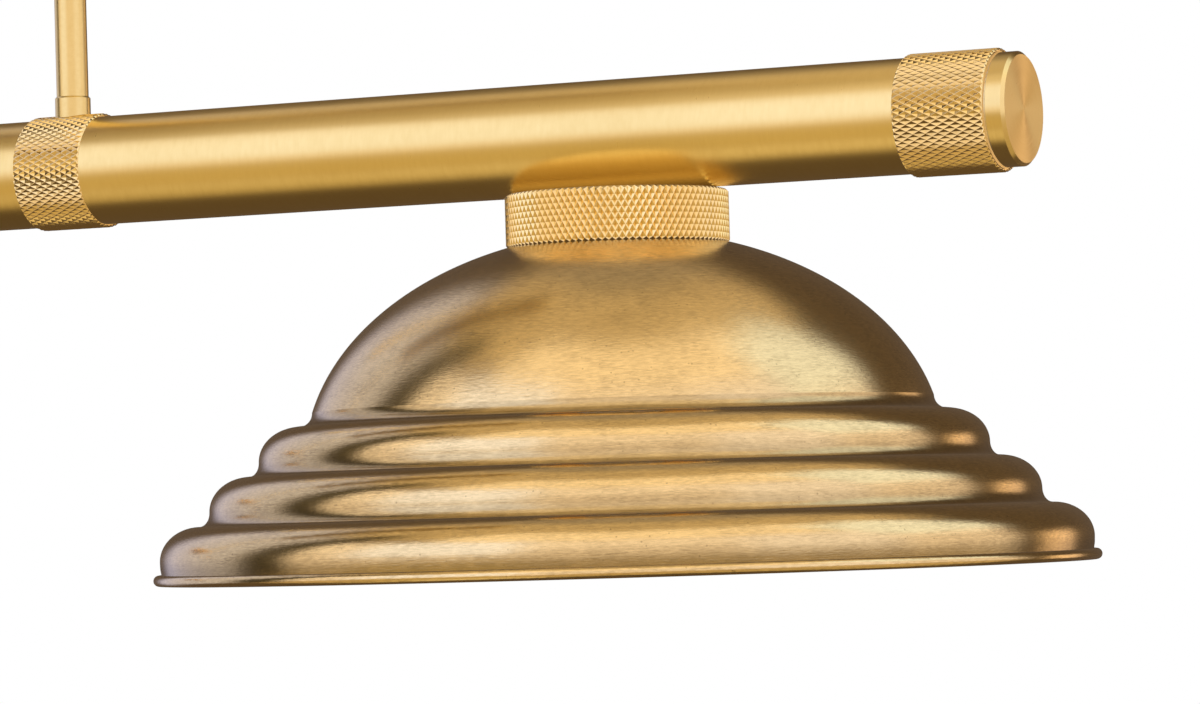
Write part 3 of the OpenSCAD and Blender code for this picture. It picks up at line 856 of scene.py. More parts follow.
def turned_face(centre: Vector) -> BrushedMetal:
    """Satin brass turned on a lathe, whose flat face shows a fan of light.

    Args:
        centre: The middle of the face, or another point of its axis.

    Returns:
        The finish.
    """
    return BrushedMetal(Slot.SATIN, BRASS_TONE, 0.30, shade=BRASS_SHADE, axis=Axis.X,
                        centre=rounded(centre), fineness=9000.0, waver=1.0,
                        line_depth=0.03, contrast=0.12, anisotropy=0.9)


ZINC = PlatedSteel(Slot.ZINC, (0.66, 0.70, 0.66), 0.36)
PORCELAIN = Glazed(Slot.PORCELAIN, (0.86, 0.84, 0.78), 0.22)
# The knurl's finish paints shade in its grooves and a highlight on its ridges.
KNURLED = KnurledMetal(Slot.KNURLED, (0.93, 0.665, 0.22), 0.15)


def shell_brass(centre: Vector) -> BrushedMetal:
    """The thin bright brass of a screw shell."""
    return BrushedMetal(Slot.SHELL, (0.92, 0.72, 0.36), 0.22, shade=(0.7, 0.5, 0.2), axis=Axis.Z,
                        centre=rounded(centre), contrast=0.15)


def copper(centre: Vector) -> BrushedMetal:
    """The copper of the centre contacts."""
    return BrushedMetal(Slot.COPPER, (0.86, 0.47, 0.3), 0.28, shade=(0.5, 0.22, 0.1), axis=Axis.Z,
                        centre=rounded(centre))


@dataclass
class SubAssembly:
    """Pieces of one body that are dressed together.

    Where mirrored is False, metal doesn't show the pieces' reflection. The photographed shade shows
    hardly any of the bar above it or of the shade beside it.
    """

    body: ClassVar[Body] = Body.HANGING
    mirrored: ClassVar[bool] = True
    pieces: list[str] = field(default_factory=list, init=False)

    def keep(self, node: str, finish: Finish) -> bpy.types.Object:
        """Gives a CAD node its finish and leaves its shape as it is.

        Args:
            node: The node's name.
            finish: Its finish.

        Returns:
            The node's object.
        """
        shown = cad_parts[node]
        shown.data.materials.clear()
        shown.data.materials.append(finish.material())
        shown.visible_glossy = self.mirrored
        self.pieces.append(node)
        return shown

    def stand_for(self, piece: bpy.types.Object, node: str, finish: Finish) -> bpy.types.Object:
        """Lets a new piece stand for a CAD node.

        Args:
            piece: The new object.
            node: The node that it replaces.
            finish: Its finish.

        Returns:
            The new object.
        """
        piece.data.materials.append(finish.material())
        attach(piece, self.body.value)
        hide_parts(node)
        piece.visible_glossy = self.mirrored
        self.pieces.append(piece.name)
        return piece

    def build(self) -> None:
        """Makes and dresses the pieces."""
        raise NotImplementedError

    def report(self) -> None:
        """Logs the pieces."""
        for name in self.pieces:
            LOG.info("%s: %s", type(self).__name__, name)


@dataclass
class Knurl:
    """A knurled band: rows of rhombic pits between thin raised ridges, cut round a turned piece.

    The lattice has points at whole steps (i, j), round the band and along it. A pit's middle lies
    where i + j is odd, and ridges meet where it is even.
    """

    axis: Axis
    centre: Vector
    radius: float
    width: float
    chamfer: float
    pitch_round: float
    pitch_along: float
    depth: float = 0.42 * MM
    ridge_share: float = 0.03
    floor_share: float = 0.05
    edge_depth_share: float = 0.6
    # Turned rows, the bands' shadow gap among them, sit a little under plain relief, so the knurl's finish
    # paints a little shade on them.
    turned_relief: float = 0.4
    CORNERS: ClassVar[tuple[tuple[int, int], ...]] = ((1, 0), (0, 1), (-1, 0), (0, -1))
    SHARP_FROM: ClassVar[float] = 10.0

    def __post_init__(self) -> None:
        """Works out the lattice: the number of its columns, and each level's radius and place."""
        self.columns = 2 * round(TURN * self.radius / self.pitch_round)
        flat = self.width - 2 * self.chamfer
        inner_rows = max(2, round(flat / (self.pitch_along / 2)))
        self.levels = [(self.radius - self.chamfer, -self.width / 2)]
        self.levels += [(self.radius, -flat / 2 + flat * k / inner_rows) for k in range(inner_rows + 1)]
        self.levels.append((self.radius - self.chamfer, self.width / 2))
        self.top = len(self.levels) - 1

    def point(self, i: float, j: float, depth: float) -> Vector:
        """The point at a place of the lattice.

        Args:
            i: Steps round the band.
            j: Steps along it.
            depth: Depth below the surface.

        Returns:
            The point in the frame.
        """
        low = min(max(int(math.floor(j)), 0), self.top - 1)
        share = min(max(j - low, 0.0), 1.0)
        radius = self.levels[low][0] * (1 - share) + self.levels[low + 1][0] * share
        along = self.levels[low][1] * (1 - share) + self.levels[low + 1][1] * share
        return self.axis.point(self.centre, radius - depth, TURN * i / self.columns, along)

    def pits(self) -> Iterator[tuple[int, int]]:
        """Goes through the middles of all pits.

        Returns:
            The steps round and along the band, pit by pit.
        """
        for j in range(self.top + 1):
            for i in range(self.columns):
                if (i + j) % 2:
                    yield i, j

    def cut(self, draft: MeshDraft) -> tuple[list[int], list[int]]:
        """Cuts the pits and ridges into a draft.

        Args:
            draft: The draft that gets the points and faces.

        Returns:
            The points of the band's lower and upper edge, in order round it.
        """
        rim: dict[tuple[int, int, int, int], int] = {}
        floor: dict[tuple[int, int, int, int], int] = {}
        for i, j in self.pits():
            depth = self.depth * (self.edge_depth_share if j in (0, self.top) else 1.0)
            for di, dj in self.CORNERS:
                if 0 <= j + dj <= self.top:
                    # Pit rims get relief 1 and pit floors 0, which the knurl's finish turns into a painted
                    # highlight and painted shade.
                    s, b = 1 - self.ridge_share, self.floor_share
                    rim[i, j, di, dj] = draft.add(self.point(i + di * s, j + dj * s, 0.0), 1.0)
                    floor[i, j, di, dj] = draft.add(self.point(i + di * b, j + dj * b, depth), 0.0)
        for i, j in self.pits():
            around = [c for c in self.CORNERS if (i, j, *c) in rim]
            draft.faces.append(tuple(floor[i, j, *c] for c in around))
            for first, second in zip(self.CORNERS, self.CORNERS[1:] + self.CORNERS[:1]):
                if first in around and second in around:
                    draft.faces.append((floor[i, j, *first], rim[i, j, *first],
                                        rim[i, j, *second], floor[i, j, *second]))
        self.ridges(draft, rim)
        edges = []
        for level in (0, self.top):
            edge = []
            for i in range(self.columns):
                if (i + level) % 2:
                    edge += [rim[i, level, -1, 0], floor[i, level, -1, 0],
                             floor[i, level, 1, 0], rim[i, level, 1, 0]]
            edges.append(edge)
        return edges[0], edges[1]

    def ridges(self, draft: MeshDraft, rim: Mapping[tuple[int, int, int, int], int]) -> None:
        """Adds the ridges between the pits and the small flats where they cross.

        Args:
            draft: The draft that gets the faces.
            rim: Points of the pits' rims, by pit and corner.
        """
        n = self.columns
        for i, j in self.pits():
            for di, dj in ((1, 1), (-1, 1)):
                other = ((i + di) % n, j + dj)
                if j + dj <= self.top:
                    draft.faces.append((rim[i, j, di, 0], rim[*other, 0, -dj],
                                        rim[*other, -di, 0], rim[i, j, 0, dj]))
        for j in range(self.top + 1):
            for i in range(n):
                if (i + j) % 2 == 0:
                    found = [rim.get(((i - di) % n, j - dj, di, dj)) for di, dj in self.CORNERS]
                    corners = tuple(c for c in found if c is not None)
                    if len(corners) > 2:
                        draft.faces.append(corners)

    def body(self, draft: MeshDraft, lower: Outline, upper: Outline) -> None:
        """Cuts the band and closes it with turned rows.

        Args:
            draft: The draft that gets the points and faces.
            lower: Rows of radius and distance along from the band's lower edge to the bore.
            upper: Rows from the band's upper edge to the bore; its last row meets the lower's last.
        """
        edges = self.cut(draft)
        ends = []
        for edge, rows in zip(edges, (lower, upper)):
            turns = [self.turn_of(draft.points[k]) for k in edge]
            previous = edge
            for radius, along in rows:
                row = [draft.add(self.axis.point(self.centre, radius, t, along), self.turned_relief)
                       for t in turns]
                self.bridge(draft, previous, row)
                previous = row
            ends.append((turns, previous))
        self.join(draft, ends[0], ends[1])

    def turn_of(self, point: Vector) -> float:
        """Finds the angle of a point round the axis.

        Args:
            point: A point in the frame.

        Returns:
            The angle, from 0 to a whole turn.
        """
        away = point - self.centre
        first, second = (away.y, away.z) if self.axis is Axis.X else (away.x, away.y)
        return math.atan2(second, first) % TURN

    @staticmethod
    def bridge(draft: MeshDraft, first: Sequence[int], second: Sequence[int]) -> None:
        """Joins two rings of the same number of points.

        Args:
            draft: The draft that gets the faces.
            first: Points of one ring, in order.
            second: Points of the other.
        """
        for k in range(len(first)):
            m = (k + 1) % len(first)
            draft.faces.append((first[k], first[m], second[m], second[k]))

    @staticmethod
    def join(draft: MeshDraft, first: tuple[list[float], list[int]],
             second: tuple[list[float], list[int]]) -> None:
        """Joins two rings whose points may lie at other angles.

        Args:
            draft: The draft that gets the faces.
            first: Angles and points of one ring, in order round it.
            second: Angles and points of the other.
        """
        rings = []
        for turns, ring in (first, second):
            start = min(range(len(turns)), key=lambda k: turns[k])
            order = ring[start:] + ring[:start]
            rings.append((sorted(turns), order))
        (ta, a), (tb, b) = rings
        i = j = 0
        while i < len(a) or j < len(b):
            next_a = ta[i + 1] if i + 1 < len(a) else TURN + ta[0]
            next_b = tb[j + 1] if j + 1 < len(b) else TURN + tb[0]
            here_a, here_b = a[i % len(a)], b[j % len(b)]
            if j >= len(b) or (i < len(a) and next_a <= next_b):
                draft.faces.append((here_a, a[(i + 1) % len(a)], here_b))
                i += 1
            else:
                draft.faces.append((here_a, b[(j + 1) % len(b)], here_b))
                j += 1


@dataclass
class Bands(SubAssembly):
    """The knurled rings on the bar: one at each rod and a sleeve at each end."""

    mirrored = False
    chamfer: float = 0.6 * MM
    pitch_round: float = 2.5 * MM
    pitch_along: float = 4.85 * MM
    depth: float = 0.62 * MM
    shadow_gap: float = 0.45 * MM
    gap_depth: float = 0.9 * MM
    bore_fit: float = 0.05 * MM

    def ring(self, node: str) -> bpy.types.Object:
        """Makes one ring in the place of a CAD node.

        Args:
            node: The CAD node whose place it takes.

        Returns:
            The new object.
        """
        low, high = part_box(node)
        centre = Vector(((low.x + high.x) / 2, 0.0, middle_of("bar_tube").z))
        radius = (high.y - low.y) / 2
        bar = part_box("bar_tube")
        bar_radius = (bar[1].y - bar[0].y) / 2
        width = high.x - low.x
        knurl = Knurl(Axis.X, centre, radius, width, self.chamfer, self.pitch_round, self.pitch_along,
                      self.depth)
        draft = MeshDraft()
        end = width / 2
        upper = [(bar_radius + self.shadow_gap, end), (bar_radius + self.shadow_gap, end - self.gap_depth),
                 (bar_radius + self.bore_fit, end - self.gap_depth)]
        knurl.body(draft, [(radius, -along) for radius, along in upper], upper)
        return draft.piece(node + "_knurled", smooth_below=Knurl.SHARP_FROM)

    def build(self) -> None:
        """Makes the four rings."""
        for node in ("rod_collar_left", "rod_collar_right", "end_sleeve_left", "end_sleeve_right"):
            self.stand_for(self.ring(node), node, KNURLED)


@dataclass
class Neck(SubAssembly):
    """The knurled neck above a shade: a cup whose flat top meets the bar."""

    place: str
    chamfer: float = 0.9 * MM
    wall: float = 4.2 * MM
    top_wall: float = 4.0 * MM
    hole: float = 5.25 * MM
    pitch_round: float = 2.56 * MM
    pitch_along: float = 4.6 * MM
    depth: float = 0.8 * MM

    def build(self) -> None:
        """Makes the neck."""
        node = f"neck_{self.place}"
        low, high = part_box(node)
        centre = (low + high) / 2
        radius, height = (high.x - low.x) / 2, high.z - low.z
        knurl = Knurl(Axis.Z, centre, radius, height, self.chamfer, self.pitch_round, self.pitch_along,
                      self.depth)
        half = height / 2
        draft = MeshDraft()
        knurl.body(draft, [(radius - self.wall, -half), (radius - self.wall, half - self.top_wall),
                           (self.hole, half - self.top_wall)], [(self.hole, half)])
        self.stand_for(draft.piece(node + "_knurled", smooth_below=Knurl.SHARP_FROM), node, KNURLED)


@dataclass
class Shade(SubAssembly):
    """A spun bell shade: a dome over three rounded steps, with a rolled rim."""

    mirrored = False
    place: str
    sheet: float = 1.2 * MM
    steps: int = 3
    step_rise: float = 18.1 * MM
    step_run: float = 18.9 * MM
    valley: tuple[float, float] = (3.8 * MM, 5.2 * MM)
    bulge: tuple[float, float] = (15.1 * MM, 12.9 * MM)
    rim_wall: float = 4.65 * MM
    dome_sink: float = 14.3 * MM
    dome_swell: float = 1.7 * MM
    bead: float = 2.05 * MM
    bead_proud: float = 2.6 * MM
    land: float = 42.25 * MM
    hole: float = 18.8 * MM
    undercut: float = 0.5 * MM
    undercut_start: float = 4.2 * MM
    # Painted shade: how far relief drops towards the dome's top and at the neck, so the dome is darker
    # under the neck and bar.
    dome_top_shade: float = 0.14
    neck_joint_shade: float = 0.36
    # Step relief: low in the creases for patina and painted shade, high on the bulges, which only makes
    # them smoother.
    fillet_relief: float = 0.3
    crease_relief: float = -0.2
    bulge_relief: float = 0.6
    # Painted shade: the undercut and the first points of the bead below it get low relief.
    undercut_relief: float = 0.05
    bead_relief: float = 0.85
    shaded_bead_points: int = 4
    dome_chords: int = 22
    crease_chords: int = 4
    bulge_chords: int = 8
    rim_chords: int = 28
    segments: int = 200

    def __post_init__(self) -> None:
        """Reads the shade's place and overall size from the frame."""
        self.low, self.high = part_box(f"shade_{self.place}")
        self.rim_radius = (self.high.x - self.low.x) / 2
        self.centre = Vector(((self.low.x + self.high.x) / 2, 0.0, self.low.z + self.bead))
        self.height = self.high.z - self.centre.z
        self.wall_radius = self.rim_radius - self.bead_proud
        self.dome_foot = self.wall_radius - self.steps * self.step_run
        self.dome_width = self.dome_foot + self.dome_swell
        self.dome_level = self.shelf(1) - self.dome_sink
        self.dome_rise = (self.height - self.dome_level) / math.sqrt(
            1 - (self.land / self.dome_width) ** 2)
        self.dome_end = math.asin((self.shelf(1) + self.valley[1] - self.dome_level) / self.dome_rise)

    def shelf(self, step: int) -> float:
        """Height of the shelf on top of a step above the rim's middle."""
        return self.rim_wall + self.bulge[0] + (self.steps - step) * self.step_rise

    def dome(self, inset: float, count: int) -> Outline:
        """The dome from the flat top down to the first crease.

        Args:
            inset: Distance inwards from the outer surface, along its normal.
            count: Number of chords.

        Returns:
            The outline's points.
        """
        first = math.acos(self.land / self.dome_width)
        last = self.dome_end
        points = []
        for k in range(count + 1):
            turn = first + (last - first) * k / count
            across, up = math.cos(turn) / self.dome_width, math.sin(turn) / self.dome_rise
            size = math.hypot(across, up)
            points.append((self.dome_width * math.cos(turn) - inset * across / size,
                           self.dome_level + self.dome_rise * math.sin(turn) - inset * up / size))
        return points

    def side(self, inset: float, fine: int) -> tuple[Outline, list[float]]:
        """The side from the flat top to the rim with its relief values.

        Args:
            inset: Distance inwards from the outer surface.
            fine: Fineness, from 1.

        Returns:
            The outline and the relief of each of its points.
        """
        outline = self.dome(inset, self.dome_chords * fine)
        last = len(outline) - 1
        # Relief falls towards the top and at the neck, which paints shade there.
        relief = [PLAIN_RELIEF - self.dome_top_shade * (1 - k / last) ** 2 - self.neck_joint_shade * (1 - k / last) ** 10
                  for k in range(last + 1)]
        for step in range(1, self.steps + 1):
            outer = self.dome_foot + step * self.step_run
            shelf = self.shelf(step)
            inner = outer - self.step_run if step > 1 else self.dome_width * math.cos(self.dome_end)
            run = outer - self.bulge[0] - inner
            outline += arc((inner + run, shelf + self.valley[1]), (run + inset, self.valley[1] + inset),
                           180, 270, self.crease_chords * fine)
            outline += arc((outer - self.bulge[0], shelf - self.bulge[1]),
                           (self.bulge[0] - inset, self.bulge[1] - inset), 90, 0, self.bulge_chords * fine)
            for chords, most in ((self.crease_chords * fine, self.crease_relief),
                                 (self.bulge_chords * fine, self.bulge_relief)):
                relief += [self.fillet_relief + most * math.sin(math.pi * k / chords)
                           for k in range(chords + 1)]
        return outline, relief

    def rim(self, steps: int) -> tuple[Outline, list[float]]:
        """The rolled rim, from the outer wall round to the inner wall.

        Args:
            steps: Number of chords.

        Returns:
            The outline and the relief of each of its points.
        """
        middle = self.rim_radius - self.bead
        first = math.degrees(math.acos((self.wall_radius - self.undercut - middle) / self.bead))
        last = math.degrees(math.acos((self.wall_radius - self.sheet - middle) / self.bead)) - 360
        outline = arc((middle, 0.0), (self.bead, self.bead), first, last, steps)
        # The bead's first points, just under the undercut, are darkened as painted shade.
        relief = [0.0 if k < self.shaded_bead_points else self.bead_relief for k in range(len(outline))]
        return outline, relief

    def build(self) -> None:
        """Makes the shade."""
        outer, outer_relief = self.side(0.0, 3)
        rim, rim_relief = self.rim(self.rim_chords)
        inner, inner_relief = self.side(self.sheet, 1)
        crease = (self.wall_radius - 0.2 * self.undercut, self.undercut_start)
        outline = [(self.hole, self.height)] + outer + [crease] + rim + inner[::-1]
        relief = [PLAIN_RELIEF] + outer_relief + [self.undercut_relief] + rim_relief + inner_relief[::-1]
        outline.append((self.hole, self.height - self.sheet))
        relief.append(PLAIN_RELIEF)
        draft = MeshDraft()
        draft.lathe(outline, lambda r, t, z: Axis.Z.point(self.centre, r, t, z), self.segments,
                    relief=relief)
        finish = AgedMetal(Slot.AGED, (0.92, 0.68, 0.28), 0.19,
                           centre=rounded(self.centre))
        self.stand_for(draft.piece(f"shade_{self.place}_spun", 40.0), f"shade_{self.place}", finish)
        ring = f"shade_ring_{self.place}"
        self.keep(ring, satin(Axis.Z, middle_of(ring)))


@dataclass
class LampSocket(SubAssembly):
    """The moulded socket in a shade, with its cap and screw shell."""

    place: str
    wall: float = 0.65 * MM
    threaded_length: float = 24.0 * MM
    end_inset: float = 2.25 * MM
    end_flange: float = 2.5 * MM
    tongue_width: float = 5.0 * MM
    tongue_start: float = 0.6 * MM
    thread: Thread = Thread(3.63 * MM, 0.85 * MM)
    plain_mouth: float = 1.6 * MM
    rows: int = 56
    segments: int = 64

    def shell(self, node: str) -> bpy.types.Object:
        """Makes a screw shell with its rolled thread.

        Args:
            node: The CAD node whose place it takes.

        Returns:
            The new object.
        """
        low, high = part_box(node)
        centre = Vector(((low.x + high.x) / 2, 0.0, 0.0))
        outer = (high.x - low.x) / 2
        inner, end_outer = outer - self.wall, outer - self.end_inset
        shoulder, last = low.z + self.threaded_length + self.wall, low.z + self.threaded_length
        side = [(self.threaded_length * k / self.rows) + low.z for k in range(self.rows + 1)]

        def place(r: float, t: float, z: float) -> Vector:
            """The point, moved in by the thread, which fades out near both ends."""
            rolled = min(1.0, max(0.0, min(z - low.z - self.plain_mouth, last - z) / self.thread.pitch))
            return Axis.Z.point(centre, r - rolled * self.thread.inset(t, z), t, z)

        outline = [(inner, z) for z in reversed(side)] + [(outer, z) for z in side]
        outline += [(outer, shoulder), (end_outer, shoulder), (end_outer, high.z),
                    (end_outer - self.end_flange, high.z),
                    (end_outer - self.end_flange, high.z - self.wall),
                    (end_outer - self.wall, high.z - self.wall), (end_outer - self.wall, last)]
        draft = MeshDraft()
        draft.lathe(outline, place, self.segments)
        half, reach = self.tongue_width / 2, end_outer - self.end_flange + 0.1 * MM
        corners = ((-half, self.tongue_start), (half, self.tongue_start), (half, reach), (-half, reach))
        draft.prism([centre + Vector((x, y, high.z - self.wall)) for x, y in corners],
                    Vector((0.0, 0.0, self.wall)))
        return draft.piece(node + "_rolled")

    def build(self) -> None:
        """Makes the screw shell and dresses the socket's other pieces."""
        self.keep(f"socket_{self.place}", PORCELAIN)
        self.keep(f"socket_cap_{self.place}", PORCELAIN)
        shell = f"screw_shell_{self.place}"
        self.stand_for(self.shell(shell), shell, shell_brass(middle_of(shell)))


class BarPieces(SubAssembly):
    """The bar with its end caps and what fastens them inside."""

    mirrored = False

    def build(self) -> None:
        """Dresses the bar's pieces."""
        centre = middle_of("bar_tube")
        self.keep("bar_tube", satin(Axis.X, centre))
        for side in ("left", "right"):
            self.keep(f"end_cap_{side}", turned_face(centre))
            self.keep(f"end_plug_{side}", ZINC)
        self.keep("saddle_nuts", ZINC)
        self.keep("neck_nipples", ZINC)
        self.keep("centre_contacts", copper(centre))


class Rods(SubAssembly):
    """The rods with their feet, couplers and studs."""

    def build(self) -> None:
        """Dresses the rods."""
        for side in ("left", "right"):
            centre = middle_of(f"lower_rod_{side}")
            for part in ("swivel_ball", "upper_rod", "lower_rod", "rod_foot"):
                self.keep(f"{part}_{side}", satin(Axis.Z, centre))
        self.keep("rod_couplers", ZINC)
        self.keep("rod_nipples", ZINC)


@dataclass
class CeilingMount(SubAssembly):
    """The canopy with its strap, studs, nuts and the swivels' cups."""

    body = Body.CEILING
    stud_thread: Thread = Thread(0.7 * MM, 0.38 * MM)
    head_height: float = 2.4 * MM
    slot_width: float = 1.1 * MM
    slot_depth: float = 1.2 * MM
    head_steps: int = 24

    def studs(self) -> bpy.types.Object:
        """Makes both threaded studs.

        Returns:
            The new object.
        """
        low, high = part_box("strap_studs")
        radius = (high.y - low.y) / 2
        draft = MeshDraft()
        for x in (low.x + radius, high.x - radius):
            draft.threaded(Vector((x, 0.0, 0.0)), radius, low.z, high.z, self.stud_thread)
        return draft.piece("strap_studs_threaded")

    def nuts(self, node: str) -> bpy.types.Object:
        """Makes a pair of hexagonal nuts.

        Args:
            node: The CAD node whose place they take.

        Returns:
            The new object.
        """
        low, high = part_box(node)
        flats = high.y - low.y
        corner = flats / math.sqrt(3.0)
        draft = MeshDraft()
        for x in (low.x + corner, high.x - corner):
            centre = Vector((x, 0.0, 0.0))
            near = [p.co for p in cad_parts[node].data.vertices if abs(p.co.x - x) <= corner]
            bore = min(math.hypot(p.x - x, p.y) for p in near)
            draft.hex_nut(centre, flats, bore, low.z, high.z)
        return draft.piece(node + "_chamfered", 20.0)

    def slotted_screw(self) -> bpy.types.Object:
        """Makes the ground screw: a threaded stem under a slotted head.

        Returns:
            The new object.
        """
        low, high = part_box("ground_screw")
        centre = Vector(((low.x + high.x) / 2, 0.0, 0.0))
        head = (high.x - low.x) / 2
        near = [p.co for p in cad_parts["ground_screw"].data.vertices]
        stem = min(math.hypot(p.x - centre.x, p.y) for p in near if p.z > high.z - 0.1 * MM)
        seat = min(p.z for p in near if math.hypot(p.x - centre.x, p.y) > 0.9 * head)
        draft = MeshDraft()
        draft.threaded(centre, stem, low.z, high.z, self.stud_thread)
        floor = seat + self.slot_depth
        draft.lathe([(0.0, floor), (head, floor), (head, seat + self.head_height),
                     (0.0, seat + self.head_height)],
                    lambda r, t, z: Axis.Z.point(centre, r, t, z), 2 * self.head_steps, closed=False)
        first = math.asin(self.slot_width / 2 / head)
        for flip in (0.0, math.pi):
            turns = [flip + first + (math.pi - 2 * first) * k / self.head_steps
                     for k in range(self.head_steps + 1)]
            draft.prism([Axis.Z.point(centre, head, t, seat) for t in turns],
                        Vector((0.0, 0.0, self.slot_depth)))
        return draft.piece("ground_screw_slotted")

    def build(self) -> None:
        """Makes the studs, nuts and screw and dresses the rest of the ceiling mount."""
        self.keep("canopy", satin(Axis.X, middle_of("canopy")))
        self.keep("canopy_cap_nuts", satin(Axis.Z, middle_of("canopy_cap_nuts")))
        for side in ("left", "right"):
            cup = f"swivel_cup_{side}"
            self.keep(cup, satin(Axis.Z, middle_of(cup)))
        self.keep("mounting_strap", ZINC)
        self.keep("swivel_washers", ZINC)
        self.stand_for(self.studs(), "strap_studs", ZINC)
        for node in ("stud_nuts", "swivel_lock_nuts"):
            self.stand_for(self.nuts(node), node, ZINC)
        self.stand_for(self.slotted_screw(), "ground_screw",
                       Coating(Slot.GREEN, (0.03, 0.2, 0.07), 0.35, rubbed=(0.1, 0.28, 0.14)))


class Wiring(SubAssembly):
    """The leads in the left rod, the bar and the necks."""

    mirrored = False

    def build(self) -> None:
        """Dresses the leads."""
        self.keep("hot_lead", Coating(Slot.BLACK, (0.02, 0.02, 0.02), 0.4, rubbed=(0.06, 0.06, 0.06)))
        self.keep("neutral_lead", Coating(Slot.WHITE, (0.75, 0.75, 0.72), 0.4,
                                          rubbed=(0.6, 0.58, 0.52)))


@dataclass(frozen=True)
class PhotoCamera:
    """The camera of the reference photograph, as fitted to the outline of the right shade."""

    image_width: int = 1200
    offset: tuple[float, float, float] = (0.78753, -1.66086, 0.01827)
    yaw: float = 25.619
    pitch: float = 1.958
    roll: float = -1.708
    focal_pixels: float = 4882.5
    sensor_width: float = 36.0

    def build(self, rim_middle: Vector) -> None:
        """Makes the camera and gives it to the scene.

        Args:
            rim_middle: The middle of the photographed shade's rolled rim.
        """
        yaw, pitch, roll = (math.radians(a) for a in (self.yaw, self.pitch, self.roll))
        ahead = Vector((-math.sin(yaw) * math.cos(pitch), math.cos(yaw) * math.cos(pitch),
                        math.sin(pitch)))
        level = Vector((math.cos(yaw), math.sin(yaw), 0.0))
        upright = level.cross(ahead)
        right = math.cos(roll) * level + math.sin(roll) * upright
        up = -math.sin(roll) * level + math.cos(roll) * upright
        data = bpy.data.cameras.new("photo_camera")
        data.sensor_width = self.sensor_width
        data.lens = self.focal_pixels * self.sensor_width / self.image_width
        camera = bpy.data.objects.new("photo_camera", data)
        turn = Matrix((right, up, -ahead)).transposed().to_4x4()
        camera.matrix_world = Matrix.Translation(rim_middle + Vector(self.offset)) @ turn
        bpy.context.scene.collection.objects.link(camera)
        bpy.context.scene.camera = camera


@dataclass(frozen=True)
class Panel:
    """A soft panel or flag of the studio, as the metal shows it.

    Angles are in degrees. An azimuth of 0 is in front of the light and 90 is on its right.
    """

    azimuth: float
    half_width: float
    low: float
    high: float
    tone: Colour
    soft: float = 7.0


@dataclass(frozen=True)
class Lamp:
    """A soft rectangular lamp. Its angles are as a panel's, and a radiance of 1 shows as white."""

    name: str
    azimuth: float
    elevation: float
    size: tuple[float, float]
    radiance: float


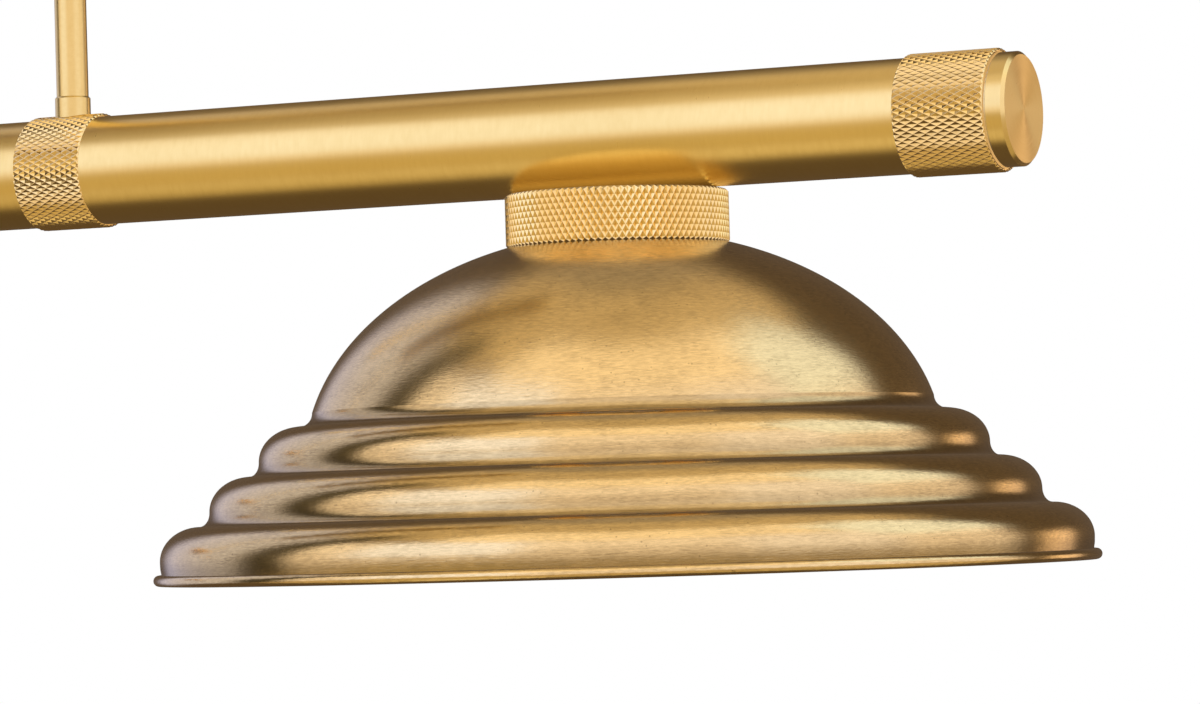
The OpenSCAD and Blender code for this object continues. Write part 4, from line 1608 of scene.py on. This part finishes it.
@dataclass
class Studio:
    """Plain studio: a pale floor, soft lamps, and panels and flags that the metal shows."""

    floor_level: float = -1.75
    floor_radius: float = 9.0
    floor_tones: tuple[Colour, Colour] = ((0.80, 0.78, 0.75), (0.74, 0.72, 0.69))
    fade_start: float = 2.0
    fade_end: float = 6.0
    daylight: Colour = (1.0, 0.98, 0.95)
    daylight_strength: float = 0.3
    lamp_distance: float = 3.0
    lamps: tuple[Lamp, ...] = (
        Lamp("key_left", -22.0, 24.0, (2.6, 2.4), 1.1),
        Lamp("key_right", 60.0, 24.0, (2.6, 2.4), 0.9),
        Lamp("side_left", -100.0, 20.0, (1.6, 2.4), 0.6),
        Lamp("back", 160.0, 45.0, (2.4, 2.0), 0.6),
    )
    ambient: Colour = (0.12, 0.085, 0.06)
    aim: Vector = field(default_factory=lambda: Vector((0.2, 0.0, -0.6)))
    panels: tuple[Panel, ...] = (
        Panel(0.0, 181.0, 50.0, 91.0, (0.66, 0.52, 0.38)),
        Panel(38.0, 76.0, 40.0, 72.0, (1.20, 1.04, 1.00)),
        Panel(30.0, 104.0, 14.0, 44.0, (1.13, 1.03, 1.20)),
        Panel(30.0, 104.0, -12.0, 14.0, (1.04, 0.93, 1.06)),
        Panel(30.0, 104.0, -38.0, -12.0, (0.68, 0.52, 0.34)),
        Panel(30.0, 104.0, -62.0, -38.0, (0.60, 0.46, 0.26)),
        Panel(-24.0, 22.0, 2.0, 44.0, (1.20, 1.28, 2.00)),
        Panel(-24.0, 22.0, -38.0, -8.0, (0.66, 0.50, 0.26)),
        Panel(-24.0, 22.0, -62.0, -40.0, (0.90, 0.74, 0.52)),
        Panel(116.0, 24.0, 26.0, 62.0, (1.10, 1.21, 1.60)),
        Panel(75.0, 20.0, -6.0, 40.0, (1.10, 1.06, 1.40)),
        Panel(-73.0, 8.0, -14.0, 60.0, (0.05, 0.04, 0.02), 4.0),
        Panel(-107.0, 23.0, -14.0, 50.0, (0.66, 0.67, 1.00)),
        Panel(-155.0, 18.0, 46.0, 72.0, (0.40, 0.33, 0.28)),
        Panel(156.0, 9.0, -14.0, 9.0, (1.20, 0.87, 0.66), 5.0),
    )

    def world(self) -> None:
        """A world that is white to the camera, plain as light, and shows the panels in metal."""
        world = bpy.data.worlds.new("studio_world")
        world.use_nodes = True
        world.node_tree.nodes.clear()
        draft = ShaderDraft(world.node_tree)
        path = draft.add("LightPath").outputs
        light = draft.add("Background", {"Color": self.daylight, "Strength": self.daylight_strength})
        shown = draft.add("Background", {"Color": self.panel_tones(draft), "Strength": 1.0})
        white = draft.add("Background", {"Color": WHITE, "Strength": 1.0})
        polished = draft.math("ADD", path["Is Glossy Ray"], path["Is Transmission Ray"], clamp=True)
        mix = draft.add("MixShader", {0: polished, 1: light.outputs[0], 2: shown.outputs[0]})
        mix = draft.add("MixShader", {0: path["Is Camera Ray"], 1: mix.outputs[0],
                                      2: white.outputs[0]})
        output = draft.add("OutputWorld")
        draft.feed(output.inputs["Surface"], mix.outputs[0])
        bpy.context.scene.world = world

    def panel_tones(self, draft: ShaderDraft) -> bpy.types.NodeSocket:
        """The colour of the panel that lies in a direction, with soft edges between panels.

        Args:
            draft: The world's tree.

        Returns:
            The colour.
        """
        direction = draft.add("TexCoord").outputs["Generated"]
        rise = draft.math("ARCSINE", draft.add("SeparateXYZ", {0: direction}).outputs[2])
        tone: object = self.ambient
        for panel in self.panels:
            turn = math.radians(panel.azimuth)
            across = draft.add("VectorMath", {0: direction, 1: (math.cos(turn), math.sin(turn), 0.0)},
                               operation="DOT_PRODUCT").outputs["Value"]
            ahead = draft.add("VectorMath", {0: direction, 1: (math.sin(turn), -math.cos(turn), 0.0)},
                              operation="DOT_PRODUCT").outputs["Value"]
            away = draft.math("ABSOLUTE", draft.math("ARCTAN2", across, ahead))
            inside = self.window(draft, away, panel.half_width, -panel.soft)
            above = self.window(draft, rise, panel.low, panel.soft)
            below = self.window(draft, rise, panel.high, -panel.soft)
            mask = draft.math("MULTIPLY", draft.math("MULTIPLY", inside, above), below)
            tone = draft.blend(mask, tone, panel.tone)
        return tone

    @staticmethod
    def window(draft: ShaderDraft, angle: bpy.types.NodeSocket, edge: float,
               soft: float) -> bpy.types.NodeSocket:
        """A mask with a soft edge.

        Args:
            draft: The world's tree.
            angle: The angle that is tested.
            edge: Where the edge is, in degrees.
            soft: Half its width in degrees. The mask is 1 past the edge, or before it if this is negative.

        Returns:
            The mask.
        """
        low, high = math.radians(edge - abs(soft)), math.radians(edge + abs(soft))
        to_low, to_high = (0.0, 1.0) if soft > 0 else (1.0, 0.0)
        return draft.add("MapRange", {"Value": angle, "From Min": low, "From Max": high,
                                      "To Min": to_low, "To Max": to_high},
                         interpolation_type="SMOOTHSTEP").outputs[0]

    def floor(self) -> None:
        """A round pale floor that keeps the shadow and fades to white far away.

        The metal shows the world's lower panels in its place, which are soft and have no edge. A camera
        below the floor sees through it.
        """
        draft = MeshDraft()
        draft.lathe([(0.0, 0.0), (self.floor_radius, 0.0)],
                    lambda r, t, z: Vector((r * math.cos(t), r * math.sin(t), self.floor_level)),
                    96, closed=False)
        floor = draft.piece("studio_floor")
        if floor.data.polygons[0].normal.z < 0:
            floor.data.flip_normals()
        floor.visible_glossy = False
        paint = bpy.data.materials.new("floor_paint")
        paint.use_nodes = True
        paint.node_tree.nodes.clear()
        shader = ShaderDraft(paint.node_tree)
        where = shader.add("TexCoord").outputs["Object"]
        colour = shader.blend(shader.noise(where, 1.5), *self.floor_tones)
        matt = shader.add("BsdfDiffuse", {"Color": colour})
        white = shader.add("Emission", {"Color": WHITE, "Strength": 1.0})
        flat = shader.vector("MULTIPLY", where, (1.0, 1.0, 0.0))
        distance = shader.add("VectorMath", {0: flat}, operation="LENGTH").outputs["Value"]
        far = shader.spread(distance, self.fade_start, self.fade_end)
        seen = shader.add("LightPath").outputs["Is Camera Ray"]
        mix = shader.add("MixShader", {0: shader.math("MULTIPLY", far, seen),
                                       1: matt.outputs[0], 2: white.outputs[0]})
        below = shader.math("MULTIPLY", shader.add("NewGeometry").outputs["Backfacing"], seen)
        mix = shader.add("MixShader", {0: below, 1: mix.outputs[0],
                                       2: shader.add("BsdfTransparent").outputs[0]})
        output = shader.add("OutputMaterial")
        shader.feed(output.inputs["Surface"], mix.outputs[0])
        floor.data.materials.append(paint)
        floor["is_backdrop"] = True

    def place(self, lamp: Lamp) -> None:
        """Sets up a lamp that faces the object. The metal shows its panel instead.

        Args:
            lamp: The lamp's place, size and brightness.
        """
        data = bpy.data.lights.new(lamp.name, "AREA")
        data.shape = "RECTANGLE"
        data.size, data.size_y = lamp.size
        data.energy = lamp.radiance * math.pi * lamp.size[0] * lamp.size[1]
        made = bpy.data.objects.new(lamp.name, data)
        a, e = math.radians(lamp.azimuth), math.radians(lamp.elevation)
        away = Vector((math.sin(a) * math.cos(e), -math.cos(a) * math.cos(e), math.sin(e)))
        facing = away.to_track_quat("Z", "Y").to_matrix().to_4x4()
        made.matrix_world = Matrix.Translation(self.aim + self.lamp_distance * away) @ facing
        made.visible_camera = False
        made.visible_glossy = False
        bpy.context.scene.collection.objects.link(made)

    def build(self) -> None:
        """Sets up the studio."""
        self.world()
        self.floor()
        for lamp in self.lamps:
            self.place(lamp)


def write_sizes() -> None:
    """Works out the CAD model's box and the visual model's box as corner lists, and keeps neither."""
    boxes = {"cad": CAD_BOX, "visual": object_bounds()}
    {name: [list(corner) for corner in box] for name, box in boxes.items()}


def main() -> None:
    """Builds the studio and every sub-assembly, and reports each piece."""
    logging.basicConfig(level=logging.INFO, format="%(message)s")
    bpy.context.scene.view_settings.view_transform = "Standard"
    low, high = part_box("shade_right")
    PhotoCamera().build(Vector(((low.x + high.x) / 2, 0.0, low.z + Shade.bead)))
    places = ("left", "middle", "right")
    assemblies: list[SubAssembly] = [CeilingMount(), Rods(), BarPieces(), Bands(), Wiring()]
    assemblies += [kind(place) for place in places for kind in (Neck, LampSocket, Shade)]
    for assembly in assemblies:
        assembly.build()
        assembly.report()
    Studio().build()
    write_sizes()


if __name__ == "__main__":
    main()
